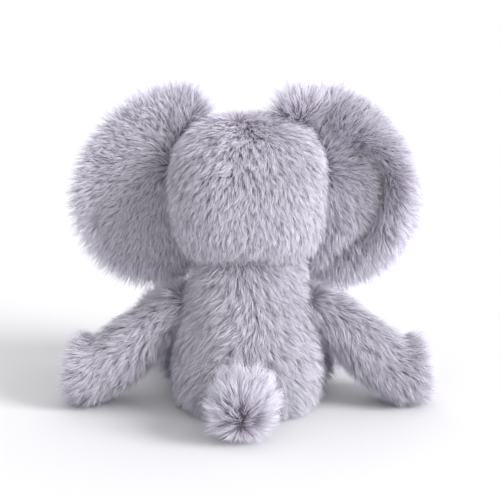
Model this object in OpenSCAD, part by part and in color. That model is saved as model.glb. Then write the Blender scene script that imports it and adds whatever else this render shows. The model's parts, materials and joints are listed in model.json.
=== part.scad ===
// Seated plush elephant, sewn from long-pile fabric, stuffed and weighted. Millimetres.
// +Z is up and the face looks along -Y. The origin is under the middle of the seat, on the
// surface that the toy sits on. Left and right are the elephant's own, so left is +X.
// Each outer skin is drawn to the face of its pressed-down pile.

/* [Body] */
// Radius of the round panel that the toy sits on
seat_r = 34; // [28:0.5:40]
// How far the lower control point of the body's outline lies from its axis
belly_low_r = 54; // [48:0.5:60]
// How far the upper control point of the body's outline lies from its axis
belly_high_r = 44; // [40:0.5:52]
// Height of the neck's centre above the seat
body_h = 82; // [76:0.5:100]
// Radius of the rounded neck, which the head sits on
neck_r = 33; // [28:0.5:36]

/* [Head] */
// Half of the head's width, without the ears
head_half_w = 47.5; // [42:0.5:56]
// Radius of the head, seen from the side
head_r = 48.5; // [42:0.5:56]
// How far the head's lowest point lies above the neck's centre
head_lift = 5.5; // [4:0.5:10]
// How far the head's middle lies in front of the body's axis
head_forward = 3; // [0:0.5:8]
// Squareness of the head's outline, where 2 is an ellipse
head_square = 3; // [2:0.1:3.4]

/* [Ears] */
// How far an ear reaches out from its hinge line
ear_reach = 58; // [46:0.5:68]
// How far an ear reaches in from its hinge line, above and below the head's corners
ear_lap = 22; // [14:0.5:28]
// Half of an ear's height
ear_half_h = 60; // [50:0.5:66]
// How far an ear's top leans in, and its bottom out
ear_lean = 7; // [0:0.5:12]
// How far an ear's middle lies above the head's middle
ear_up = 1; // [-6:0.5:8]
// Radius of the dish that an ear is bent to
ear_dish_r = 150; // [120:5:220]
// Length of the seam that joins an ear to the head
ear_seam = 52; // [40:1:60]
// Thickness of an ear's furry back panel
ear_back_t = 6; // [4:0.5:8]
// Thickness of the wadding in an ear
ear_wadding_t = 4; // [2:0.5:6]
// Thickness of an ear's short-pile lining
ear_lining_t = 2.5; // [1.5:0.5:4]

/* [Face] */
// Radius of the trunk where it leaves the head
trunk_root_r = 17; // [13:0.5:20]
// Radius of the trunk's end
trunk_end_r = 11.5; // [9:0.5:15]
// How far the trunk's end lies below its root
trunk_drop = 64; // [52:1:70]
// Radius of an eye's dome
eye_r = 6; // [4:0.25:7.5]
// Distance of an eye from the middle of the face
eye_out = 21; // [16:0.5:28]

/* [Limbs] */
// Radius of an arm where it joins the body
arm_root_r = 16; // [13:0.5:18]
// Height of the shoulders
shoulder_h = 61; // [54:0.5:64]
// Radius of a hand
hand_r = 21; // [19:0.5:25]
// How far the middle of a hand's pad lies from the body's axis
arm_reach = 108; // [100:1:126]
// Radius of a leg where it joins the body
leg_root_r = 19; // [16:0.5:22]
// Radius of a foot
foot_r = 25; // [21:0.5:28]
// Length of a leg, from its hip to its sole
leg_len = 70; // [58:1:84]
// Radius of the tail's plush end
tail_r = 14.5; // [11:0.5:16]
// Length of the tail
tail_len = 36; // [28:1:44]

/* [Fabric] */
// Thickness of the furry skin: backing and pressed pile
skin_t = 5; // [3:0.5:6]
// Thickness of the pads on the hands, feet and trunk
pad_t = 2.5; // [1.5:0.5:4]
// Radius of the pouch of plastic pellets in the seat
pouch_r = 26; // [20:0.5:27]
// Height of that pouch
pouch_h = 24; // [16:0.5:30]

/* [Hidden] */

$fn = 96;
LEFT = 1;
RIGHT = -1;
fur = "#b3aebf";
pink = "#c7a3aa";
fibre = "#f2efe9";
black = "#141214";

layer_gap = 0.25;      // between a skin and what fills it
joint_gap = 0.4;       // round a limb's root in its recess
floor_gap = 0.3;       // under a limb that lies on the surface
limb_sides = 16;       // flats round a limb
curve_steps = 12;      // stretches that a limb's length is cut into
root_steps = 4;        // rings on a limb's round root
profile_steps = 18;    // stretches along half an outline

// ---------- Outlines ----------

function bezier(p, t) =
    pow(1 - t, 3) * p[0] + 3 * pow(1 - t, 2) * t * p[1]
    + 3 * (1 - t) * t * t * p[2] + pow(t, 3) * p[3];

function bezier_slope(p, t) =
    3 * pow(1 - t, 2) * (p[1] - p[0]) + 6 * (1 - t) * t * (p[2] - p[1])
    + 3 * t * t * (p[3] - p[2]);

function unit(v) = v / norm(v);

// Half of a squared ellipse, from one pole of the axis to the other.
function half_superellipse(across, along, square) = [
    for (i = [0 : 2 * profile_steps])
        let (a = -90 + 90 * i / profile_steps, power = 2 / square)
            [across * pow(max(cos(a), 0), power),
             along * sign(sin(a)) * pow(abs(sin(a)), power)]
];

// The body's side, from the seat's edge up to the neck.
body_curve = [
    [seat_r, 0], [belly_low_r, body_h * 0.045],
    [belly_high_r, body_h * 0.68], [neck_r, body_h]
];
body_side = [for (i = [0 : profile_steps]) bezier(body_curve, i / profile_steps)];

// The body's radius at a height.
function body_r_at(z) = lookup(z, [for (p = body_side) [p[1], p[0]]]);

// The body's outline, made thinner by inset on every side.
function body_outline(inset) = concat(
    [[0, inset]],
    [for (p = body_side) if (p[1] < body_h) [p[0] - inset, max(p[1], inset)]],
    [for (i = [0 : profile_steps])
        let (a = 90 * i / profile_steps)
            [max((neck_r - inset) * cos(a), 0), body_h + (neck_r - inset) * sin(a)]]
);

// ---------- Places ----------

head_z = body_h + head_lift + head_r;
head_middle = [0, -head_forward, head_z];
neck_pivot = [0, 0, body_h];

// The head's radius in the plane across it at x.
function head_r_at(x) =
    head_r * pow(1 - pow(min(abs(x) / head_half_w, 1), head_square), 1 / head_square);

ear_neck_t = 8;        // the ear is pressed thin where it is sewn on
ear_bead_r = 5;        // the rolled edge that lies in the head's seam
ear_clear = 4.5;       // room beside the head that the ear needs to flap
ear_hinge_x = head_half_w - 1;
ear_hinge_y = -head_forward - 5;
ear_hinge = [ear_hinge_x, ear_hinge_y, head_z + ear_up];
dish_out = ear_reach * 0.35;   // the deepest point of the dish, out from the hinge line

trunk_root = head_middle + [0, -head_r * 0.88, -head_r * 0.34];
trunk_path = [
    trunk_root,
    trunk_root + [0, -33, -12],
    trunk_root + [0, -17, -trunk_drop],
    trunk_root + [0, -41, -trunk_drop]
];
trunk_radii = [[0, trunk_root_r * 0.86], [0.2, trunk_root_r * 0.9],
               [0.9, trunk_end_r], [0.96, trunk_end_r], [1, trunk_end_r - 1]];

arm_root_x = body_r_at(shoulder_h) + 4;
arm_root = [arm_root_x, 0, shoulder_h];
hand_z = hand_r + floor_gap;
arm_span = arm_reach - arm_root_x;
arm_path = [
    arm_root,
    arm_root + [arm_span * 0.34, 2, -arm_root_r * 0.5],
    [arm_reach - arm_span * 0.42, 6, hand_z - 2],
    [arm_reach, 0, hand_z + 2]
];
arm_radii = [[0, arm_root_r * 0.84], [0.12, arm_root_r * 0.87], [0.45, hand_r * 0.82],
             [0.74, hand_r * 0.9], [0.88, hand_r], [0.96, hand_r - 0.8], [1, hand_r - 3.4]];

leg_angle = 46;        // how far round from the front a hip lies
leg_splay = 13;        // how far a leg points outward
foot_z = foot_r + floor_gap;
leg_root_z = leg_root_r + floor_gap + 1.5;
leg_root_out = body_r_at(leg_root_z) + 2;
leg_root = [leg_root_out * sin(leg_angle), -leg_root_out * cos(leg_angle), leg_root_z];
leg_way = [sin(leg_splay), -cos(leg_splay), 0];
leg_path = [
    leg_root,
    leg_root + leg_way * leg_len * 0.35,
    [leg_root[0], leg_root[1], foot_z - 2] + leg_way * leg_len * 0.66,
    [leg_root[0], leg_root[1], foot_z + 4] + leg_way * leg_len
];
leg_radii = [[0, leg_root_r * 0.86], [0.14, leg_root_r * 0.87], [0.45, leg_root_r],
             [0.8, foot_r - 0.6], [0.9, foot_r], [0.96, foot_r - 0.8], [1, foot_r - 3.6]];

tail_root_r = 9;
tail_root_z = 33;
tail_root = [0, body_r_at(tail_root_z) + 1, tail_root_z];
tail_lean = 6;         // the tuft lies this far to the left
tail_end_z = tail_r + floor_gap;
tail_path = [
    tail_root,
    tail_root + [0, tail_len * 0.34, -3],
    [tail_lean * 0.5, tail_root[1] + tail_len * 0.6, tail_end_z + 6],
    [tail_lean, tail_root[1] + tail_len, tail_end_z + 3]
];
tail_radii = [[0, tail_root_r * 0.8], [0.15, tail_root_r * 0.85], [0.5, tail_r],
              [0.85, tail_r], [0.94, tail_r - 1.5], [1, tail_r - 5]];

// ---------- Limbs ----------

// Rings of points for a round-ended tube along a curve: centre, way, radius.
function tube_rings(path, radii, root_r, inset) =
    let (stop = 1 - inset / norm(bezier_slope(path, 1)),
         first = unit(bezier_slope(path, 0)),
         last = unit(bezier_slope(path, 1)),
         ball = root_r - inset)
    concat(
        [for (i = [1 : root_steps])
            let (a = 90 * i / (root_steps + 0.5))
                [path[0] - first * ball * cos(a), first, ball * sin(a)]],
        [for (i = [0 : curve_steps - 1])
            let (t = stop * i / curve_steps)
                [bezier(path, t), unit(bezier_slope(path, t)),
                 lookup(t / stop, radii) - inset]],
        // the end of a hollow lies square to the limb's end, one inset behind it all over
        [[bezier(path, 1) - last * inset, last, lookup(1, radii) - inset]]
    );

// A closed tube with a rounded root and a flat end. side is a direction that never lies
// along the curve.
module tube(path, radii, root_r, side, inset = 0) {
    rings = tube_rings(path, radii, root_r, inset);
    n = limb_sides;
    last = len(rings) - 1;
    tip = path[0] - unit(bezier_slope(path, 0)) * (root_r - inset);
    points = concat(
        [tip],
        [for (ring = rings)
            let (u = unit(cross(side, ring[1])), v = cross(ring[1], u))
                for (k = [0 : n - 1])
                    ring[0] + ring[2] * (cos(360 * k / n) * u + sin(360 * k / n) * v)],
        [rings[last][0]]
    );
    end = len(points) - 1;
    faces = concat(
        [for (k = [0 : n - 1]) [0, 1 + k, 1 + (k + 1) % n]],
        [for (j = [0 : last - 1], k = [0 : n - 1])
            [1 + j * n + k, 1 + (j + 1) * n + k, 1 + j * n + (k + 1) % n]],
        [for (j = [0 : last - 1], k = [0 : n - 1])
            [1 + j * n + (k + 1) % n, 1 + (j + 1) * n + k, 1 + (j + 1) * n + (k + 1) % n]],
        [for (k = [0 : n - 1]) [1 + last * n + k, end, 1 + last * n + (k + 1) % n]]
    );
    polyhedron(points, faces);
}

// Puts its children at a tube's flat end, with +Z pointing out of it.
module at_end(path) {
    way = unit(bezier_slope(path, 1));
    translate(path[3])
        rotate([0, acos(way[2]), atan2(way[1], way[0])])
            children();
}

// The round pad let into a tube's end, or the pocket for it if grow is above 0.
module end_pad(path, r, grow = 0) {
    at_end(path)
        translate([0, 0, -pad_t - grow])
            cylinder(r = r + grow, h = pad_t + 2 * grow);
}

module tube_skin(path, radii, root_r, side, pad_r) {
    difference() {
        tube(path, radii, root_r, side);
        tube(path, radii, root_r, side, skin_t);
        if (pad_r > 0) end_pad(path, pad_r, layer_gap);
    }
}

module mirrored(side) {
    if (side == LEFT) children();
    else mirror([1, 0, 0]) children();
}

// The empty round recess that a limb's root turns in.
module recess(root, root_r) {
    translate(root) sphere(r = root_r + joint_gap);
}

// ---------- Body ----------

module limb_recesses() {
    for (side = [LEFT, RIGHT]) mirrored(side) {
        recess(arm_root, arm_root_r);
        recess(leg_root, leg_root_r);
    }
    recess(tail_root, tail_root_r);
}

seat_margin = 3;       // the body's skin turns in this far under its edge

module body_solid(inset) {
    rotate_extrude() polygon(body_outline(inset));
}

module seat_panel() {
    color(fur) cylinder(r = seat_r - seat_margin, h = skin_t);
}

module body_skin() {
    color(fur) difference() {
        body_solid(0);
        body_solid(skin_t);
        limb_recesses();
        translate([0, 0, -1]) cylinder(r = seat_r - seat_margin + layer_gap, h = skin_t + 2);
    }
}

pouch_z = skin_t + layer_gap + 1 + pouch_h / 2;
pouch_wall = 0.8;

module pouch_solid(inset) {
    translate([0, 0, pouch_z])
        rotate_extrude()
            polygon(half_superellipse(pouch_r - inset, pouch_h / 2 - inset, 2.4));
}

module body_stuffing() {
    color(fibre) difference() {
        body_solid(skin_t + layer_gap);
        limb_recesses();
        pouch_solid(-layer_gap);
    }
}

module pellet_pouch() {
    color("#e9e6df") difference() {
        pouch_solid(0);
        pouch_solid(pouch_wall);
    }
}

module seat_pellets() {
    color("#f4f3ef") pouch_solid(pouch_wall + layer_gap);
}

// ---------- Head ----------

module head_solid(inset) {
    translate(head_middle)
        rotate([0, 90, 0])
            rotate_extrude()
                polygon(half_superellipse(head_r - inset, head_half_w - inset, head_square));
}

// The seam in the head's side that an ear's rolled edge lies in.
module ear_groove() {
    translate([ear_hinge_x, ear_hinge_y, head_z - ear_seam / 2 - joint_gap])
        cylinder(r = ear_bead_r + joint_gap, h = ear_seam + 2 * joint_gap);
}

eye_tilt = 14;         // degrees above the middle of the face
eye_turn = 9;          // degrees that an eye looks outward
eye_sink = 1.5;        // the dome's centre lies this far under the skin
shank_r = 1.6;
shank_len = skin_t + 6;
washer_r = 6;
washer_t = 1.4;

// Puts its children on the face's skin at the left eye, with +Z pointing out.
module at_eye() {
    translate(head_middle + [eye_out, -head_r_at(eye_out) * cos(eye_tilt),
                             head_r_at(eye_out) * sin(eye_tilt)])
        rotate([0, 0, eye_turn])
            rotate([90 - eye_tilt, 0, 0])
                children();
}

// Room for an eye's dome, its shank and its washer.
module eye_room() {
    at_eye() {
        translate([0, 0, -eye_sink]) sphere(r = eye_r + layer_gap);
        translate([0, 0, -shank_len - 3]) cylinder(r = shank_r + 0.2, h = shank_len + 3);
    }
}

module washer_room() {
    at_eye()
        translate([0, 0, -shank_len - 2])
            cylinder(r = washer_r + 1, h = shank_len + 3);
}

module head_skin() {
    color(fur) difference() {
        head_solid(0);
        head_solid(skin_t);
        recess(neck_pivot, neck_r);
        recess(trunk_root, trunk_root_r);
        for (side = [LEFT, RIGHT]) mirrored(side) {
            ear_groove();
            eye_room();
        }
    }
}

module head_stuffing() {
    color(fibre) difference() {
        head_solid(skin_t + layer_gap);
        recess(neck_pivot, neck_r);
        recess(trunk_root, trunk_root_r);
        for (side = [LEFT, RIGHT]) mirrored(side) {
            ear_groove();
            washer_room();
        }
    }
}

module eye(side) {
    color(black) mirrored(side) at_eye() {
        translate([0, 0, -eye_sink]) difference() {
            sphere(r = eye_r);
            translate([0, 0, -2 * eye_r]) cylinder(r = 2 * eye_r, h = 1.25 * eye_r);
        }
        translate([0, 0, -shank_len]) cylinder(r = shank_r, h = shank_len - eye_sink);
    }
}

washer_z = -skin_t - washer_t - 2.4;   // against the inside of the skin, which curves away

module eye_washer(side) {
    color("#e8e6e0") mirrored(side) at_eye()
        translate([0, 0, washer_z]) difference() {
            cylinder(r = washer_r, h = washer_t);
            translate([0, 0, -1]) cylinder(r = shank_r + 0.1, h = washer_t + 2);
        }
}

// ---------- Ears ----------

// Its children's outline in X and Z, cut right through from front to back.
module through() {
    rotate([90, 0, 0])
        translate([0, 0, -3 * head_r])
            linear_extrude(6 * head_r)
                children();
}

// The ear's outline, less a margin all round.
module ear_outline(margin) {
    translate([ear_hinge[0], 0, ear_hinge[2]])
        through()
            polygon([for (i = [0 : 47])
                let (a = 360 * i / 48, reach = (cos(a) > 0) ? ear_reach : ear_lap)
                    [(reach - margin) * cos(a) - ear_lean * sin(a),
                     (ear_half_h - margin) * sin(a)]]);
}

// A layer of the dished ear, whose back lies depth in from the ear's back.
module ear_layer(depth, thickness) {
    dish_middle = ear_hinge + [dish_out, ear_back_t - ear_dish_r, 0];
    difference() {
        translate(dish_middle) sphere(r = ear_dish_r - depth);
        translate(dish_middle) sphere(r = ear_dish_r - depth - thickness);
    }
}

// The head's outline from behind, grown by the room that the ear needs beside it.
module ear_head_room() {
    translate([0, 0, head_z])
        through()
            polygon([for (i = [0 : 47])
                let (a = 360 * i / 48, power = 2 / head_square)
                    [(head_half_w + ear_clear) * sign(cos(a)) * pow(abs(cos(a)), power),
                     (head_r + ear_clear) * sign(sin(a)) * pow(abs(sin(a)), power)]]);
}

module ear_root(grow = 0) {
    foot = head_z - ear_seam / 2 - grow;
    translate([ear_hinge_x, ear_hinge_y, foot])
        cylinder(r = ear_bead_r + grow, h = ear_seam + 2 * grow);
    translate([ear_hinge_x, ear_hinge_y - ear_neck_t / 2 - grow, foot])
        cube([ear_clear + 5 + grow, ear_neck_t + 2 * grow, ear_seam + 2 * grow]);
}

module ear_back(side) {
    color(fur) mirrored(side) union() {
        difference() {
            intersection() {
                ear_outline(0);
                ear_layer(0, ear_back_t);
            }
            ear_head_room();
        }
        ear_root();
    }
}

module ear_inner(side, depth, thickness, margin) {
    mirrored(side) difference() {
        intersection() {
            ear_outline(margin);
            ear_layer(depth, thickness);
        }
        ear_head_room();
        ear_root(layer_gap);
    }
}

module ear_wadding(side) {
    color(fibre) ear_inner(side, ear_back_t + layer_gap, ear_wadding_t, 3);
}

module ear_lining(side) {
    color(pink)
        ear_inner(side, ear_back_t + ear_wadding_t + 2 * layer_gap, ear_lining_t, 1);
}

// ---------- Trunk, arms, legs and tail ----------

ACROSS = [1, 0, 0];
BACK = [0, 1, 0];
UP = [0, 0, 1];

trunk_disc_r = trunk_end_r - 2.5;
hand_pad_r = hand_r - 5.5;
sole_pad_r = foot_r - 5.5;

module trunk_skin() {
    color(fur) tube_skin(trunk_path, trunk_radii, trunk_root_r, ACROSS, trunk_disc_r);
}

module trunk_stuffing() {
    color(fibre)
        tube(trunk_path, trunk_radii, trunk_root_r, ACROSS, skin_t + layer_gap);
}

module trunk_end_disc() {
    color(pink) end_pad(trunk_path, trunk_disc_r);
}

module arm_skin(side) {
    color(fur) mirrored(side)
        tube_skin(arm_path, arm_radii, arm_root_r, BACK, hand_pad_r);
}

module arm_stuffing(side) {
    color(fibre) mirrored(side)
        tube(arm_path, arm_radii, arm_root_r, BACK, skin_t + layer_gap);
}

module hand_pad(side) {
    color(pink) mirrored(side) end_pad(arm_path, hand_pad_r);
}

module leg_skin(side) {
    color(fur) mirrored(side)
        tube_skin(leg_path, leg_radii, leg_root_r, UP, sole_pad_r);
}

module leg_stuffing(side) {
    color(fibre) mirrored(side)
        tube(leg_path, leg_radii, leg_root_r, UP, skin_t + layer_gap);
}

module sole_pad(side) {
    color(pink) mirrored(side) end_pad(leg_path, sole_pad_r);
}

module tail_skin() {
    color(fur) tube_skin(tail_path, tail_radii, tail_root_r, ACROSS, 0);
}

module tail_core() {
    color(fibre) tube(tail_path, tail_radii, tail_root_r, ACROSS, skin_t + layer_gap);
}

// ---------- Nodes ----------

body_skin();
seat_panel();
body_stuffing();
pellet_pouch();
seat_pellets();
head_skin();
head_stuffing();
eye(LEFT);  // left_eye
eye(RIGHT);  // right_eye
eye_washer(LEFT);  // left_eye_washer
eye_washer(RIGHT);  // right_eye_washer
ear_back(LEFT);  // left_ear_back
ear_wadding(LEFT);  // left_ear_wadding
ear_lining(LEFT);  // left_ear_lining
ear_back(RIGHT);  // right_ear_back
ear_wadding(RIGHT);  // right_ear_wadding
ear_lining(RIGHT);  // right_ear_lining
trunk_skin();
trunk_stuffing();
trunk_end_disc();
arm_skin(LEFT);  // left_arm_skin
arm_stuffing(LEFT);  // left_arm_stuffing
hand_pad(LEFT);  // left_hand_pad
arm_skin(RIGHT);  // right_arm_skin
arm_stuffing(RIGHT);  // right_arm_stuffing
hand_pad(RIGHT);  // right_hand_pad
leg_skin(LEFT);  // left_leg_skin
leg_stuffing(LEFT);  // left_leg_stuffing
sole_pad(LEFT);  // left_sole_pad
leg_skin(RIGHT);  // right_leg_skin
leg_stuffing(RIGHT);  // right_leg_stuffing
sole_pad(RIGHT);  // right_sole_pad
tail_skin();
tail_core();
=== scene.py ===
# %% [markdown]
# # A seated plush elephant
#
# The toy is sewn from long-pile fabric: a knitted backing with soft fibres about 13 mm long standing in it.
# Fibre stuffing fills it, and a pouch of plastic pellets in the seat keeps it upright.
# This lesson makes it in the order of a workshop. The skins are cut and sewn, stuffed so that they swell,
# and then the pile is grown from them as many thousands of thin tapered strands of real geometry.

import json
import math

import bpy
import numpy as np
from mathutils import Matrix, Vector


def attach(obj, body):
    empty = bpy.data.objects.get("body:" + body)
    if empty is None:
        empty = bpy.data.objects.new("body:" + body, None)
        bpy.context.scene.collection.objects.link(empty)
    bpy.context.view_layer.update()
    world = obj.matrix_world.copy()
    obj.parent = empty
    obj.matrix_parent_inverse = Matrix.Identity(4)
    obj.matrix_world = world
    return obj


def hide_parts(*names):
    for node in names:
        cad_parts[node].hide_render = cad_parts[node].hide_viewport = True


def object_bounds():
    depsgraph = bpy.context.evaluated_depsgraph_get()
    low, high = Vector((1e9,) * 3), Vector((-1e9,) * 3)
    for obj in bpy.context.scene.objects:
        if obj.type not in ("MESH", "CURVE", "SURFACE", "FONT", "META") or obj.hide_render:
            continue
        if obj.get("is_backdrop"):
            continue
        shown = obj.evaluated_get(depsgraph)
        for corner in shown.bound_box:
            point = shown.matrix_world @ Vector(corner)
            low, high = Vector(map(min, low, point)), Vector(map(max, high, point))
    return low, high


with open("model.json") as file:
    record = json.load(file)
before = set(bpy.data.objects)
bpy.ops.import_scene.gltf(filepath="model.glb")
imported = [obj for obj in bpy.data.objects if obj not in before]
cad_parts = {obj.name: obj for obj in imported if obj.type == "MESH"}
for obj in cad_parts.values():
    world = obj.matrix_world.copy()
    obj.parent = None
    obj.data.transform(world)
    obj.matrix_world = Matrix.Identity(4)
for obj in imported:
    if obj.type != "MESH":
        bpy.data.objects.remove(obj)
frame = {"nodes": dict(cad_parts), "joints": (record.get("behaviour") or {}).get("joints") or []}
cad_low, cad_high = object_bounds()
joint_places = {j["name"]: np.array(j["pos_m"]) for j in frame["joints"]}
print("size in mm:", [round((b - a) * 1000, 1) for a, b in zip(cad_low, cad_high)])

# %% [markdown]
# ## Camera
#
# The toy is seen from behind and a little above, as a buyer would see it on a table, through a long lens
# that keeps its proportions. The camera is made first, so that every later piece can be judged in its view.

# %% Camera
CAMERA_DISTANCE = 1.1
CAMERA_HEIGHT_DEG = 15.0
SEEN_WIDTH = 0.31        # metres across the view at the toy
AIM = (-0.0015, 0.0, 0.0993)


def make_camera():
    """A long-lens camera behind the toy, aimed at a point near its middle."""
    data = bpy.data.cameras.new("camera")
    data.lens_unit = "FOV"
    data.angle = 2 * math.atan(SEEN_WIDTH / 2 / CAMERA_DISTANCE)
    data.clip_end = 20
    camera = bpy.data.objects.new("camera", data)
    bpy.context.scene.collection.objects.link(camera)
    tilt = math.radians(CAMERA_HEIGHT_DEG)
    camera.location = (
        AIM[0],
        AIM[1] + CAMERA_DISTANCE * math.cos(tilt),
        AIM[2] + CAMERA_DISTANCE * math.sin(tilt),
    )
    camera.rotation_euler = (math.pi / 2 - tilt, 0, math.pi)
    return camera


bpy.context.scene.camera = make_camera()
print("camera", CAMERA_DISTANCE, "m away and", CAMERA_HEIGHT_DEG, "degrees up")

# %% [markdown]
# ## Helpers for meshes
#
# Every piece here is computed with numpy arrays in millimetres and turned into a mesh at the end.
# A skin is a grid of points wrapped round in one direction. A row of points is a ring, and a ring at
# either end can be closed with a fan of triangles.

# %% Mesh helpers
MM = 0.001


def unit(v):
    """Each row of v scaled to length 1."""
    return v / np.maximum(np.linalg.norm(v, axis=-1, keepdims=True), 1e-9)


def make_mesh(name, points, quads=(), tris=(), smooth=True):
    """An object from arrays: points in mm, and faces of four and of three corners."""
    quads = np.asarray(quads, dtype=np.int32).reshape(-1, 4)
    tris = np.asarray(tris, dtype=np.int32).reshape(-1, 3)
    mesh = bpy.data.meshes.new(name)
    mesh.vertices.add(len(points))
    mesh.vertices.foreach_set("co", (np.asarray(points) * MM).astype(np.float32).ravel())
    corners = np.concatenate([quads.ravel(), tris.ravel()])
    mesh.loops.add(len(corners))
    mesh.loops.foreach_set("vertex_index", corners)
    starts = np.concatenate([np.arange(len(quads)) * 4, len(quads) * 4 + np.arange(len(tris)) * 3])
    mesh.polygons.add(len(starts))
    mesh.polygons.foreach_set("loop_start", starts.astype(np.int32))
    mesh.polygons.foreach_set("use_smooth", np.full(len(starts), smooth))
    mesh.update(calc_edges=True)
    mesh.validate()
    piece = bpy.data.objects.new(name, mesh)
    bpy.context.scene.collection.objects.link(piece)
    return piece


def wrap_grid(rings, close_first=True, close_last=True):
    """Points, quads and triangles of a skin given as rings: rings[i, k] is point k of ring i."""
    count, around = rings.shape[:2]
    points = rings.reshape(-1, 3)
    i, k = np.meshgrid(np.arange(count - 1), np.arange(around), indexing="ij")
    k2 = (k + 1) % around
    quads = np.stack([i * around + k, i * around + k2, (i + 1) * around + k2, (i + 1) * around + k], -1)
    k = np.arange(around)
    k2 = (k + 1) % around
    tris = []
    if close_first:
        pole = np.full(around, len(points))
        points = np.concatenate([points, rings[:1].mean(1)])
        tris.append(np.stack([pole, k2, k], -1))
    if close_last:
        pole = np.full(around, len(points))
        points = np.concatenate([points, rings[-1:].mean(1)])
        base = (count - 1) * around
        tris.append(np.stack([pole, base + k, base + k2], -1))
    tris = np.concatenate(tris) if tris else np.zeros((0, 3), dtype=int)
    return points, quads.reshape(-1, 4), tris


def joined(grids):
    """Several grids' points, quads and triangles as one."""
    points, quads, tris = zip(*grids)
    starts = np.cumsum([0] + [len(p) for p in points])
    return (np.concatenate(points), np.concatenate([q + s for q, s in zip(quads, starts)]),
            np.concatenate([t + s for t, s in zip(tris, starts)]))


def circle(count, across=(1, 0, 0), up=(0, 1, 0)):
    """Points evenly round a circle of radius 1, in the plane of two directions."""
    turn = np.linspace(0, 2 * math.pi, count, endpoint=False)
    return np.cos(turn)[:, None] * across + np.sin(turn)[:, None] * up


def turned(r, h, around, across=(1, 0, 0), up=(0, 1, 0)):
    """Rings turned about an axis: radius r at each place h along it."""
    return r[:, None, None] * circle(around, across, up) + h[:, None, None] * np.cross(across, up)


def distance(points, place):
    """How far each point is from a place."""
    return np.linalg.norm(points - place, axis=1)


def ripple(points, size, seed):
    """A smooth random value between about -1 and 1 for each point, with features of the given size."""
    rng = np.random.default_rng(seed)
    flat = points.reshape(-1, 3)
    total = np.zeros(len(flat))
    for _ in range(10):
        way = unit(rng.normal(size=3)) * rng.uniform(0.6, 1.6) * 2 * math.pi / size
        total += np.sin(flat @ way + rng.uniform(0, 2 * math.pi))
    return (total / 4.5).reshape(points.shape[:-1])


def step(x, low, high):
    """0 below low, 1 above high and smooth between them."""
    t = np.clip((x - low) / (high - low), 0, 1)
    return t * t * (3 - 2 * t)


def mirror_x(points):
    """The same points on the elephant's other side."""
    return points * np.array([-1, 1, 1])


def to_side(points, side):
    """Points of the left side moved to the given side, or back."""
    return points if side == 1 else mirror_x(points)


def rings_to_side(rings, side):
    """Rings of the left side moved to the given side, with their faces still looking out."""
    return rings if side == 1 else mirror_x(rings)[:, ::-1]


SIDES = ((1, "left"), (-1, "right"))

# %% [markdown]
# ## Shader helper
#
# Shader maths reads better as sums than as boxes joined by lines. The small class here wraps a socket, so
# that 0.4 + 0.6 * noise adds the Math nodes it needs. Colours and vectors have their own nodes, because a
# Math node would turn a colour grey.

# %% Shader helper
class Wire:
    """A socket of a material's nodes. Arithmetic on it adds Math nodes."""

    def __init__(self, tree, socket):
        self.tree, self.socket = tree, socket

    def math(self, operation, a, b):
        return self.tree.add("ShaderNodeMath", {"operation": operation}, {0: a, 1: b})

    def __add__(self, other):
        return self.math("ADD", self, other)

    __radd__ = __add__

    def __sub__(self, other):
        return self.math("SUBTRACT", self, other)

    def __rsub__(self, other):
        return self.math("SUBTRACT", other, self)

    def __mul__(self, other):
        return self.math("MULTIPLY", self, other)

    __rmul__ = __mul__

    def ramp(self, low, high, to_low=0.0, to_high=1.0):
        """This value, mapped smoothly from low..high to to_low..to_high."""
        ends = {"Value": self, "From Min": low, "From Max": high, "To Min": to_low, "To Max": to_high}
        return self.tree.add("ShaderNodeMapRange", {"interpolation_type": "SMOOTHSTEP"}, ends)


class Finish:
    """A material under construction: add() makes a node, and surface() sets the shader."""

    def __init__(self, name):
        self.material = bpy.data.materials.new(name)
        self.material.use_nodes = True
        self.nodes, self.links = self.material.node_tree.nodes, self.material.node_tree.links
        self.nodes.clear()

    def feed(self, socket, value):
        if isinstance(value, Wire):
            self.links.new(value.socket, socket)
        else:
            socket.default_value = value

    def add(self, kind, settings=None, values=None, out=0):
        """One node: its settings are set first, then each socket gets a number, a colour or a Wire."""
        node = self.nodes.new(kind)
        for key, value in (settings or {}).items():
            setattr(node, key, value)
        for key, value in (values or {}).items():
            self.feed(node.inputs[key], value)
        return Wire(self, node.outputs[out])

    def mix(self, amount, a, b):
        """A colour between a and b."""
        return self.add("ShaderNodeMix", {"data_type": "RGBA"}, {0: amount, 6: a, 7: b}, out=2)

    def tint(self, shade, amount):
        """A colour made lighter or darker by a value."""
        return self.add("ShaderNodeVectorMath", {"operation": "SCALE"}, {0: shade, 3: amount})

    def noise(self, size_mm, detail=2.0, roughness=0.5):
        """Cloudy values from 0 to 1 over the object, with features about size_mm across."""
        place = self.add("ShaderNodeTexCoord", out=3)
        values = {"Vector": place, "Scale": 1000 / size_mm, "Detail": detail, "Roughness": roughness}
        return self.add("ShaderNodeTexNoise", {}, values)

    def threads(self, size_mm, direction):
        """Ridges size_mm apart across X, Y or Z, a little uneven, as in a weave."""
        place = self.add("ShaderNodeTexCoord", out=3)
        values = {"Vector": place, "Scale": 314.16 / size_mm / 10, "Distortion": 0.6, "Detail": 1.0}
        return self.add("ShaderNodeTexWave", {"bands_direction": direction}, values)

    def bump(self, height, strength, depth_mm):
        values = {"Strength": strength, "Distance": depth_mm * MM, "Height": height}
        return self.add("ShaderNodeBump", {}, values)

    def surface(self, values):
        """Ends the material in one Principled shader with these values."""
        shader = self.add("ShaderNodeBsdfPrincipled", {}, values)
        end = self.nodes.new("ShaderNodeOutputMaterial")
        self.links.new(shader.socket, end.inputs["Surface"])
        return self.material


def colour(*display):
    """A display colour, given from 0 to 255, as the linear values that a shader needs."""
    share = [c / 255 for c in display]
    return tuple(s / 12.92 if s <= 0.04045 else ((s + 0.055) / 1.055) ** 2.4 for s in share) + (1.0,)


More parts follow.
